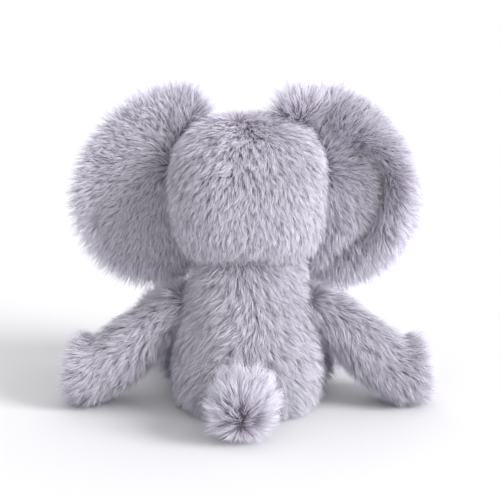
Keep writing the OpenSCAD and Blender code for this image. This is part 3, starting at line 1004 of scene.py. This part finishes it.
def bent_lines(root, up, way, size, low, high, steps, droop):
    """Points along strands that leave at angle low from upright and end at angle high."""
    at = root.copy()
    out = [at]
    for s in np.arange(1, steps + 1) / steps:
        angle = np.radians(low + (high - low) * (s - 0.5 / steps))
        move = np.cos(angle)[:, None] * up + np.sin(angle)[:, None] * way
        move[:, 2] -= droop * s
        at = at + unit(move) * (size / steps)[:, None]
        out.append(at)
    return np.stack(out, 1)


def grow_coat(skin, brush, per_mm2, length, width, seed, keep=None, steps=3, lean=(34, 74), lock_mm=1.55,
              cling=0.55, droop=0.10, stray=0.08, length_of=None, flat_of=None, tone_of=None):
    """A coat of strands on a skin, as blocks of points. brush(points, normals) gives the direction that each
    is combed in, and keep(points, normals) says which roots stay. The last three change the length, the lean
    in degrees and the lightness from place to place."""
    rng = np.random.default_rng(seed)
    roots, normal = sample_surface(skin.points, skin.quads, skin.tris, per_mm2, rng)
    if keep is not None:
        ok = keep(roots, normal)
        roots, normal = roots[ok], normal[ok]
    count = len(roots)
    combed = brush(roots, normal)
    combed = unit(combed - (combed * normal).sum(1, keepdims=True) * normal)
    number = lock_of(roots, lock_mm, seed)
    groups = number.max() + 1
    lock_root = group_mean(roots, number, groups)
    lock_up = unit(group_mean(normal, number, groups))
    lock_way = unit(group_mean(combed, number, groups) + 1e-6)
    long = np.full(count, float(length)) if length_of is None else length * length_of(roots)
    lock_long = group_mean(long[:, None], number, groups)[:, 0] * rng.uniform(0.78, 1.15, groups)
    flat = np.zeros(groups) if flat_of is None else flat_of(lock_root)
    # a lock turns a little off the combed way by chance, and more by slow swirls that its neighbours share
    turn = rng.normal(0, 0.38, groups)
    side = np.cross(lock_up, lock_way)
    lock_way = np.cos(turn)[:, None] * lock_way + np.sin(turn)[:, None] * side
    swirl = 0.40 * ripple(lock_root, 15, seed + 5) + 0.25 * ripple(lock_root, 34, seed + 6)
    swirl = swirl * (1 - np.clip(flat, 0, 20) / 30)
    lock_way = unit(lock_way + swirl[:, None] * np.cross(lock_up, lock_way))
    lock_lean = rng.normal(0, 8, groups) + flat + 5 * ripple(lock_root, 20, seed + 7)
    low, high = lean[0] + lock_lean, lean[1] + 0.5 * lock_lean
    guide = bent_lines(lock_root, lock_up, lock_way, lock_long, low, high, steps, droop)
    way = unit(0.55 * lock_way[number] + 0.45 * combed + 0.18 * rng.normal(size=(count, 3)))
    own_long = lock_long[number] * rng.uniform(0.70, 1.10, count)
    low = low[number] + rng.normal(0, 9, count)
    high = high[number] + rng.normal(0, 10, count)
    own = bent_lines(roots, normal, way, own_long, low, high, steps, droop)
    share = np.arange(0, steps + 1) / steps
    squeeze = share**1.4
    pulled = guide[number] + (roots - lock_root[number])[:, None] * (1 - 0.80 * squeeze)[None, :, None]
    weight = cling * squeeze[None, :, None] * (rng.random((count, 1, 1)) > stray)
    line = own * (1 - weight) + pulled * weight
    line[..., 2] = np.maximum(line[..., 2], FLOOR_GAP + 0.5 * rng.random((count, 1)) * share[None])
    # a ribbon's flat side faces out, give or take a twist
    ahead = np.diff(line, axis=1)
    ahead = unit(np.concatenate([ahead, ahead[:, -1:]], 1))
    across = unit(np.cross(ahead, normal[:, None, :]) + 1e-6)
    twist = rng.normal(0, 0.5, (count, 1, 1))
    across = np.cos(twist) * across + np.sin(twist) * np.cross(across, ahead)
    wide = width * rng.uniform(0.7, 1.25, count)
    taper = np.interp(share, [0, 0.25, 0.7, 1], [0.85, 1.0, 0.62, 0.0])
    half = 0.5 * wide[:, None, None] * taper[None, :, None] * across
    pairs = np.stack([line[:, :-1] - half[:, :-1], line[:, :-1] + half[:, :-1]], 2).reshape(count, -1, 3)
    # tone_of makes strands lighter or darker by place; on the head, body and ears this is painted light and
    # shade
    tone = 0 if tone_of is None else tone_of(lock_root)[number]
    own_tone = 0.15 + 0.55 * rng.random(count) + 0.15 * rng.random(groups)[number] + tone
    return {"block": np.concatenate([pairs, line[:, -1:]], 1), "tone": np.clip(own_tone, 0.01, 0.99),
            "at": lock_root[number], "steps": steps}


# %% [markdown]
# A coat becomes one or more pieces, panel by panel, as the cloth itself is cut. Every strand gets two maps.
# One holds its lightness and the way up it for the finish, and the other gives it a place of its own in any
# image that a finish is baked to.

# %% Coats to pieces
CELL_TALL = 2.4          # a strand's place in that image is this many times as tall as it is wide


def pile_piece(name, coats, body, chosen=None):
    """One mesh from the chosen strands of some coats."""
    points, quads, tris = [], [], []
    maps = {"strand": ([], []), "OFBake": ([], [])}
    masks = [np.ones(len(c["tone"]), bool) if chosen is None else chosen(c["at"]) for c in coats]
    total = max(1, sum(int(m.sum()) for m in masks))
    rows = int(math.ceil(math.sqrt(total / CELL_TALL)))
    columns = int(math.ceil(total / rows))
    first_point = first_strand = 0
    for coat, mask in zip(coats, masks):
        block, tone, steps = coat["block"][mask], coat["tone"][mask], coat["steps"]
        count, per = block.shape[:2]
        if not count:
            continue
        start = first_point + (np.arange(count) * per)[:, None]
        k = np.arange(steps - 1)
        quad = np.stack([2 * k, 2 * k + 1, 2 * k + 3, 2 * k + 2], -1).reshape(-1, 4)
        tip = np.array([2 * steps - 2, 2 * steps - 1, 2 * steps])
        points.append(block.reshape(-1, 3))
        quads.append((start[:, :, None] + quad[None]).reshape(-1, 4))
        tris.append(start + tip[None])
        height = np.concatenate([np.repeat(np.arange(steps) / steps, 2), [1.0]])
        width = np.concatenate([np.tile([0.0, 1.0], steps), [0.5]])
        cell = first_strand + np.arange(count)
        column, row = cell % columns, cell // columns
        for corners, which in ((quad.ravel(), 0), (tip, 1)):
            n = len(corners)
            maps["strand"][which].append(np.stack([np.repeat(tone, n), np.tile(height[corners], count)], -1))
            u = (np.repeat(column, n) + 0.12 + 0.76 * np.tile(width[corners], count)) / columns
            v = (np.repeat(row, n) + 0.08 + 0.84 * np.tile(height[corners], count)) / rows
            maps["OFBake"][which].append(np.stack([u, v], -1))
        first_point += count * per
        first_strand += count
    piece = make_mesh(name, np.concatenate(points), np.concatenate(quads), np.concatenate(tris))
    for title, (of_quads, of_tris) in maps.items():
        layer = piece.data.uv_layers.new(name=title, do_init=False)
        layer.uv.foreach_set("vector", np.concatenate(of_quads + of_tris).astype(np.float32).ravel())
    give(piece, PILE)
    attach(piece, body)
    print(name, total, "strands,", len(piece.data.loops) - 2 * len(piece.data.polygons), "triangles")
    return piece


def four_panels(name, coats, body, front, split_y=0.0):
    """Some coats as four pieces: left and right, and behind and in front of split_y."""
    for side, who in SIDES:
        for face, where in ((1, "back"), (-1, front)):
            pile_piece(f"{name}_{who}_{where}", coats, body,
                       chosen=lambda at: (at[:, 0] * side > 0) & ((at[:, 1] - split_y) * face > 0))


DENSITY = 1.0
FINE = 0.25
TOP_PER_MM2, UNDER_PER_MM2 = 2.9 * DENSITY, 2.2 * DENSITY
# the length of the pile in mm, on each part
HEAD_PILE, BODY_PILE, EAR_PILE = 11.5, 14.0, 12.5
ARM_PILE, LEG_PILE, TRUNK_PILE, TAIL_PILE = 13.0, 12.0, 7.0, 15.0


def two_coats(skin, brush, length, seed, under=0.55, per=1.0, **more):
    """A topcoat of bent strands and an undercoat of short upright blades."""
    top = grow_coat(skin, brush, TOP_PER_MM2 * per, length, FINE, seed, **more)
    more = {k: v for k, v in more.items() if k in ("keep", "length_of", "flat_of", "tone_of")}
    low = grow_coat(skin, brush, UNDER_PER_MM2 * per, length * under, FINE * 1.3, seed + 100, steps=1,
                    lean=(30, 50), lock_mm=1.6, cling=0.3, **more)
    return [top, low]


# %% [markdown]
# ## Brushing
#
# On the head the pile runs out from a whorl at the back of the crown and then down, and on the face it runs
# away from the trunk. It runs down the back from a parting, out along the ears and along the limbs. Near
# the eyes it is clipped short, or nobody would see them.

# %% Head
CROWN = np.array([5.0, 3.0, 184.0])
COWLICK = np.array([6.0, 22.0, 181.0])


def brush_head(p, n):
    away = unit(p - CROWN)
    far = step(distance(p, CROWN), 10, 42)[:, None]
    down = np.stack([0.3 * p[:, 0] / HEAD_HALF_W, 0 * p[:, 0], -np.ones(len(p))], -1)
    back = away * (1 - far) + unit(0.35 * away + down) * far
    tuft = (1 - step(distance(p, COWLICK), 3, 16))[:, None]
    back = back + 0.8 * tuft * np.array([0.8, 0.3, 0.2])
    face = unit(p - TRUNK_ROOT) + np.array([0, 0, -0.25])
    return back + (face - back) * step(-p[:, 1], 5, 30)[:, None]


def head_flat(p):
    """Low on the head the pile is pressed flat, and at the crown it stands up."""
    pressed = 8 * step(-p[:, 2], -172, -140) * step(p[:, 1], 0, 20) * step(p[:, 2], 88, 104)
    crown = -9 * (1 - step(distance(p, COWLICK), 5, 20))
    return pressed + crown + 11 * step(p[:, 2], 156, 170)


def eye_distance(p):
    return np.minimum(distance(p, EYE), distance(p, mirror_x(EYE)))


def head_length(p):
    face = 1 - 0.35 * step(-p[:, 1], 10, 35)
    eyes = 0.16 + 0.84 * step(eye_distance(p), EYE_R + 2, EYE_R + 16)
    tuft = 1 + 0.25 * (1 - step(distance(p, COWLICK), 5, 18))
    pressed = 1 - 0.15 * step(-p[:, 2], -165, -135) * step(p[:, 1], 0, 20) * step(p[:, 2], 90, 106)
    pressed += (0.4 + 0.7 * ripple(p, 7, 77)) * step(-p[:, 2], -106, -92) * step(p[:, 1], 0, 20)
    return face * eyes * pressed * tuft


def head_painted_light(p):
    """Painted light: a little lighter over the top and at the cowlick, where the tips stand in the light."""
    return 0.32 * step(p[:, 2], 156, 174) + 0.12 * (1 - step(distance(p, COWLICK), 5, 20))


def keep_head(p, n):
    in_neck = distance(p, NECK) < NECK_R - 3
    at_trunk = distance(p, TRUNK_ROOT) < TRUNK_ROOT_R - 3
    return ~in_neck & ~at_trunk & (eye_distance(p) > EYE_R + 0.6)


head = two_coats(SKINS["head_skin_cloth"], brush_head, HEAD_PILE, 17, keep=keep_head,
                 length_of=head_length, flat_of=head_flat, tone_of=head_painted_light)
four_panels("head_pile", head, "head", "face", split_y=-5.0)

# %% Body
def brush_body(p, n):
    middle = 5 * np.sin(p[:, 2] / 13.0)
    side = np.clip((p[:, 0] - middle) / 14, -1, 1)
    return np.stack([0.6 * side, 0 * side, -np.ones(len(p))], -1)


def keep_body(p, n):
    ok = (p[:, 2] > 2) & ~inside_head(p, -8)
    q = np.abs(p) * [1, 0, 0] + p * [0, 1, 1]
    ok &= (distance(q, ARM_ROOT) > ARM_ROOT_R - 3) & (distance(q, LEG_ROOT) > LEG_ROOT_R - 3)
    return ok & (distance(p, TAIL_ROOT) > TAIL_ROOT_R - 2)


def body_tone_and_painted_shade(p):
    """A little darker all over, and painted shade that darkens it more toward the seat."""
    return -0.08 - 0.14 * step(-p[:, 2], -55, -12)


body = two_coats(SKINS["body_skin_cloth"], brush_body, BODY_PILE, 7, keep=keep_body, tone_of=body_tone_and_painted_shade)
four_panels("body_pile", body, "torso", "front")

# %% Ears
def brush_ear(side):
    def brush(p, n):
        start = EAR_HINGE + [-6, 0, 10]
        away = unit((to_side(p, side) - start) * np.array([1, 0, 1])) + np.array([0, 0, -0.22])
        return to_side(away, side)
    return brush


def ear_rules(side):
    """How the pile of one ear differs from place to place."""
    def where(p):
        q = to_side(p, side)
        share, angle = ear_place(q)
        edge, depth = crease_share(angle)
        hollow = 1 - step(share, edge - 0.10, edge + 0.03)
        return share, edge, depth, hollow, pocket_at(q[:, 0], q[:, 2])

    def length_of(p):
        share, edge, depth, hollow, pocket = where(p)
        if side == 1:
            return 0.80 + 0.27 * step(share, 0.6, 1.0)
        crease = np.exp(-(((share - edge) / 0.07) ** 2))
        return 1.0 + 0.12 * step(share, 0.8, 1.0) - (0.32 * hollow + 0.20 * crease) * depth - 0.3 * pocket

    def flat_of(p):
        share, _, depth, hollow, _ = where(p)
        if side == 1:
            return 4 - 6 * step(share, 0.5, 1.0)
        return (15 * hollow - 6 * (1 - hollow)) * depth

    # painted light and shade: lighter rims, a lighter top and darker middle on the left ear, and on the right
    # ear lighter overall with a darker crease and pocket
    def tone_of(p):
        share, edge, depth, _, pocket = where(p)
        rim = (0.25 if side == 1 else 0.35) * step(share, 0.66, 0.92)
        if side == 1:
            return rim + 0.14 * step(p[:, 2], 165, 185) - 0.10 * (1 - step(share, 0.3, 0.9))
        crease = np.exp(-(((share - edge + 0.03) / 0.11) ** 2))
        return 0.08 + rim - 0.34 * crease * depth - 0.45 * pocket

    return {"length_of": length_of, "flat_of": flat_of, "tone_of": tone_of}


for side, who in SIDES:
    def keep_ear(p, n):
        return ~inside_head(to_side(p, side), 0)

    coats = two_coats(SKINS[who + "_ear_back_cloth"], brush_ear(side), EAR_PILE, 27 + side, keep=keep_ear,
                      lock_mm=1.35, **ear_rules(side))
    pile_piece(who + "_ear_pile", coats, who + "_ear")

# %% Limbs
def hip_share(q, t, centre):
    """1 on a leg's outer side near the hip and 0 away from it."""
    return step(0.55 - t, 0.0, 0.3) * step(q[:, 0] - centre[:, 0], -4, 6)


def brush_sleeve(sleeve, side, flare=0.0):
    """Along the sleeve, a little down, and out from its axis near the end by flare."""
    def brush(p, n):
        q = to_side(p, side)
        t, way, centre = sleeve.along(q)
        out = unit(q - centre) * (flare * step(t, 0.72, 1.0))[:, None]
        way = way + np.array([0, 0, -0.15]) + out
        if sleeve is LEG:
            hip = hip_share(q, t, centre)[:, None]
            way = way * (1 - hip) + np.array([0.45, 1.0, -0.25]) * hip
        return to_side(way, side)
    return brush


def keep_sleeve(sleeve, side, inside):
    """Leaves out the roots on the flat end, where the pad is, and those inside the body."""
    def keep(p, n):
        q = to_side(p, side)
        t, way, _ = sleeve.along(q)
        sole = (t > 0.97) & ((to_side(n, side) * way).sum(1) > 0.75)
        return ~sole & ~inside(q, -3.5)
    return keep


def limb_flat(sleeve, side):
    """The pile stands up more at the hand or foot, where it fringes the pad."""
    def flat_of(p):
        t, _, _ = sleeve.along(to_side(p, side))
        return 3 - 14 * step(t, 0.75, 1.0)
    return flat_of


def limb_length(sleeve, side):
    """At the hips the pile is ruffled up and looks longer, so that it shows beside the body."""
    def length_of(p):
        q = to_side(p, side)
        t, _, centre = sleeve.along(q)
        return 1.0 + (0.6 if sleeve is LEG else 0.0) * hip_share(q, t, centre)
    return length_of


for side, who in SIDES:
    for kind, sleeve, seed in SLEEVES:
        long, per = (ARM_PILE, 1.0) if kind == "arm" else (LEG_PILE, 0.75)
        skin, brush = SKINS[f"{who}_{kind}_skin_cloth"], brush_sleeve(sleeve, side, 0.5)
        coats = two_coats(skin, brush, long, seed + side, per=per,
                          keep=keep_sleeve(sleeve, side, inside_body),
                          flat_of=limb_flat(sleeve, side), length_of=limb_length(sleeve, side))
        pile_piece(f"{who}_{kind}_pile", coats, f"{who}_{kind}")

coats = two_coats(SKINS["trunk_skin_cloth"], brush_sleeve(TRUNK, 1), TRUNK_PILE, 61,
                  keep=keep_sleeve(TRUNK, 1, inside_head))
pile_piece("trunk_pile", coats, "trunk")

# %% [markdown]
# The tail ends in a tuft: its pile is the longest, and it stands out all round from the tail's tip.

# %% Tail
WHORL = TAIL.path[3] + [-2, 0.5, -4]


def brush_tail(p, n):
    """Toward the tip near the body, and from halfway on out from the tip's whorl, back over the sides."""
    t, way, _ = TAIL.along(p)
    mixed = step(t, 0.20, 0.55)[:, None]
    return way * (1 - mixed) + unit(p - WHORL) * mixed


def tail_flat(p):
    t, _, _ = TAIL.along(p)
    return 2 - 30 * step(t, 0.3, 0.6) + 28 * step(t, 0.84, 1.0)


def tail_length(p):
    return 0.90 + 0.22 * step(distance(p, WHORL), 2, 13)


def tail_tone(p):
    return 0.15 + 0.05 * step(distance(p, WHORL), 2, 12)


def keep_tail(p, n):
    return ~inside_body(p, -2)


coats = two_coats(SKINS["tail_skin_cloth"], brush_tail, TAIL_PILE, 71, per=1.25, keep=keep_tail,
                  flat_of=tail_flat, length_of=tail_length, tone_of=tail_tone, lock_mm=2.2, cling=0.6)
pile_piece("tail_pile", coats, "tail")

# %% [markdown]
# ## Stitches
#
# Each pad is sewn in by hand with a spaced stitch over its rim. A stitch is a short thread that dives in at
# both ends, so it is a small tube bent over the seam.

# %% Stitches
STITCH_LONG, STITCH_R = 2.6, 0.32
PAD_STITCHES, TRUNK_STITCHES, SEAT_STITCHES = 34, 18, 60


def stitch_points(middle, along, up):
    """Rings of one stitch: a thin tube that rises over the seam and goes down at both ends."""
    out = []
    for s, r in zip(np.linspace(-1, 1, 7), (0.35, 0.85, 1, 1, 1, 0.85, 0.35)):
        centre = middle + along * (s * STITCH_LONG / 2) + up * (0.55 - 0.9 * s * s)
        out.append(centre + STITCH_R * r * circle(7, np.cross(along, up), up))
    return np.array(out)


def sew_stitches(name, body, rim, way, count):
    """Stitches over a round rim that faces way."""
    middle = rim.mean(0)
    way = unit(np.asarray(way, dtype=float))
    stitches = []
    for i in range(count):
        at = i * len(rim) / count
        k, part = int(at) % len(rim), at - int(at)
        spot = rim[k] * (1 - part) + rim[(k + 1) % len(rim)] * part
        out = unit(spot - middle)
        slant = unit(out + 0.35 * np.cross(way, out))
        stitches.append(wrap_grid(stitch_points(spot - out * 0.6, slant, way)))
    piece = make_mesh(name, *joined(stitches))
    give(piece, THREAD)
    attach(piece, body)
    return count


sewn = 0
for name, body, rim, way in PADS:
    count = TRUNK_STITCHES if "trunk" in name else PAD_STITCHES
    sewn += sew_stitches(name.replace("_cloth", "_stitches"), body, rim, way, count)
seat_rim = (SEAT_R - SEAT_IN) * circle(64) + [0, 0, 1.3]
sewn += sew_stitches("seat_stitches", "torso", seat_rim, (0, 0, -1), SEAT_STITCHES)
print(sewn, "stitches")

# %% [markdown]
# ## What fills the toy
#
# Loose fibre fills every skin. It follows the skin from inside, but in lumps, because it goes in by the
# handful. The body's filling has a hollow for the pouch.

# %% Fillings
FILL_IN = 6.6            # the fibre's face lies this far inside the pile's pressed face


def lumpy(rings, seed, size=11.0, height=0.9):
    """The same rings, moved in and out in lumps."""
    away = unit(rings - rings.mean(1, keepdims=True))
    wave = ripple(rings, size, seed) + 0.4 * ripple(rings, size / 2.5, seed + 1)
    return rings + away * (height * wave)[..., None]


def fill(name, grid, body, node, amount=0.6, finish=None, slot="stuffing"):
    piece = make_mesh(name, *grid)
    give(piece, finish or FIBRE)
    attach(piece, body)
    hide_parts(node)
    return piece


def pouch_rings(grow=0.0, around=56, rows=28):
    """Rings of the pellet pouch: a flat round bag that has slumped a little."""
    a = np.linspace(-0.97, 0.97, rows) * math.pi / 2
    r = (POUCH_R + grow) * np.abs(np.cos(a)) ** 0.83
    z = POUCH_Z + (POUCH_H / 2 + grow) * np.sign(np.sin(a)) * np.abs(np.sin(a)) ** 0.83
    return turned(r, z, around)


rings = body_rings(FILL_IN)
rings[..., 2] = np.maximum(rings[..., 2], FILL_IN)
shell = wrap_grid(lumpy(rings, 5))
hollow = wrap_grid(pouch_rings(1.2)[:, ::-1])
fill("body_filling", joined([shell, hollow]), "torso", "body_stuffing", 0.8)
fill("head_filling", wrap_grid(lumpy(head_rings(FILL_IN), 6)), "head", "head_stuffing", 0.85)
for side, who in SIDES:
    for kind, sleeve, seed in SLEEVES:
        rings = lumpy(sleeve.rings(FILL_IN, around=40, steps=30, seed=seed + side), seed + 8)
        limb = f"{who}_{kind}"
        fill(limb + "_filling", wrap_grid(rings_to_side(rings, side)), limb, limb + "_stuffing", 0.7)
    back, front = ear_panels(side, puff=0.45)
    inner = int(EAR_RINGS * 0.9)
    rings = np.concatenate([back[:inner], front[:inner][::-1]])
    grid, _ = trim_ear(wrap_grid(rings_to_side(rings, side)), EAR_SEWN_IN + 1)
    fill(who + "_ear_filling", grid, who + "_ear", who + "_ear_wadding", 0.5)
fill("trunk_filling", wrap_grid(lumpy(TRUNK.rings(FILL_IN, around=40, steps=34, seed=61), 9, height=0.4)),
     "trunk", "trunk_stuffing", 0.7)
fill("tail_filling", wrap_grid(lumpy(TAIL.rings(5.8, around=36, steps=24, seed=71), 10, height=0.5)),
     "tail", "tail_core", 0.6)

# %% [markdown]
# The pouch is a bag of plain cotton, wrinkled where the pellets have settled, with a welt where its halves
# are sewn. The pellets in it are short cylinders with rounded ends, and each lies its own way round. They
# stand in a shaken grid, which looks poured and never lets two of them meet.

# %% Pouch and pellets
PELLET_R, PELLET_GAP = 1.55, 4.4
# the outline of a pellet: places along its axis in mm, and its share of the full radius there
PELLET_OUTLINE = ((-1.25, 0.55), (-1.0, 0.92), (-0.4, 1.0), (0.4, 1.0), (1.0, 0.92), (1.25, 0.55))


def pouch_grid():
    rings = pouch_rings(-0.4)
    away = unit(rings - np.array([0, 0, POUCH_Z]))
    wrinkle = 0.35 * ripple(rings * [1, 1, 0.35], 7, 31) + 0.3 * ripple(rings, 16, 32)
    welt = 1.1 * np.exp(-(((rings[..., 2] - POUCH_Z) / 0.9) ** 2)) - 0.6
    return wrap_grid(rings + away * (wrinkle + welt)[..., None])


fill("pellet_pouch_cloth", pouch_grid(), "torso", "pellet_pouch", 0.6, COTTON, "pouch_cloth")


def pellet_heap():
    """All the pellets, each turned its own way."""
    rng = np.random.default_rng(91)
    n = int(POUCH_R / PELLET_GAP) + 1
    grid = np.stack(np.meshgrid(*[np.arange(-n, n + 1)] * 3, indexing="ij"), -1).reshape(-1, 3).astype(float)
    grid[:, 0] += 0.5 * (grid[:, 2] % 2)
    grid[:, 1] += 0.5 * (grid[:, 2] % 2)
    spots = grid * [PELLET_GAP, PELLET_GAP, PELLET_GAP * 0.9] + rng.uniform(-0.35, 0.35, grid.shape)
    r = np.hypot(spots[:, 0], spots[:, 1]) / (POUCH_R - 3.6)
    h = np.abs(spots[:, 2]) / (POUCH_H / 2 - 3.4)
    spots = spots[r**2.4 + h**2.4 < 1] + [0, 0, POUCH_Z]
    heap = []
    for spot in spots:
        way = unit(rng.normal(size=3))
        u = unit(np.cross(way, [0.3, 0.5, 0.8]))
        circled = circle(8, u, np.cross(way, u))
        heap.append(wrap_grid(np.array([spot + way * h + PELLET_R * w * circled for h, w in PELLET_OUTLINE])))
    print(len(heap), "pellets")
    return joined(heap)


pellets = make_mesh("pellets", *pellet_heap())
give(pellets, PELLETS)
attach(pellets, "torso")
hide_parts("seat_pellets")

# %% [markdown]
# ## Table and light
#
# The toy sits on plain white paper under a wide soft light from its right, with a bright surround
# that fills the shadows. Nothing here is part of the toy.

# %% Stage
FLOOR_HALF_MM = 4000.0
PAPER_SHADES = (0.66, 0.66, 0.68, 1), (0.68, 0.68, 0.70, 1)
SKY, KEY, PANEL_WATTS = 1.0, 3.3, 1.3
KEY_SPREAD_DEG = 28.0                                       # a wide sun has soft shadows
KEY_FROM = (-0.95, 0.45, 0.58)
PANEL_SIZE, PANEL_AT, PANEL_AIM = 0.4, (-0.55, 0.42, 0.10), (-0.06, 0, 0.06)

square = np.array([(-1, -1, 0), (1, -1, 0), (1, 1, 0), (-1, 1, 0)])
paper = make_mesh("floor", FLOOR_HALF_MM * square, [(0, 1, 2, 3)])
f = Finish("white_paper")
give(paper, f.surface({"Base Color": f.mix(f.noise(300), *PAPER_SHADES), "Roughness": 0.9}))
paper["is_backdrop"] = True
world = bpy.data.worlds.new("studio")
bpy.context.scene.world = world
world.use_nodes = True
sky = world.node_tree.nodes["Background"].inputs
sky[0].default_value, sky[1].default_value = (1, 1, 1, 1), SKY


def add_light(name, kind, place, target=(0, 0, 0), **settings):
    """A light at a place, aimed at a target."""
    data = bpy.data.lights.new(name, kind)
    for key, value in settings.items():
        setattr(data, key, value)
    light = bpy.data.objects.new(name, data)
    bpy.context.scene.collection.objects.link(light)
    light.location = place
    light.rotation_euler = (Vector(target) - Vector(place)).to_track_quat("-Z", "Y").to_euler()


add_light("key", "SUN", KEY_FROM, energy=KEY, angle=math.radians(KEY_SPREAD_DEG))
add_light("side_panel", "AREA", PANEL_AT, PANEL_AIM, energy=PANEL_WATTS, size=PANEL_SIZE)
bpy.context.scene.view_settings.view_transform = "Standard"

# %% [markdown]
# ## Measure and finish
#
# The finished toy follows the size of the frame, apart from the pile that stands a little proud. The two
# boxes are printed next to each other so that they can be compared.

# %% Finish
low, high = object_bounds()
print("visual size in mm:", [round((b - a) * 1000, 1) for a, b in zip(low, high)])
below = [round((a - b) * 1000, 1) for a, b in zip(cad_low, low)]
above = [round((b - a) * 1000, 1) for a, b in zip(cad_high, high)]
print("proud of the frame in mm:", below + above)
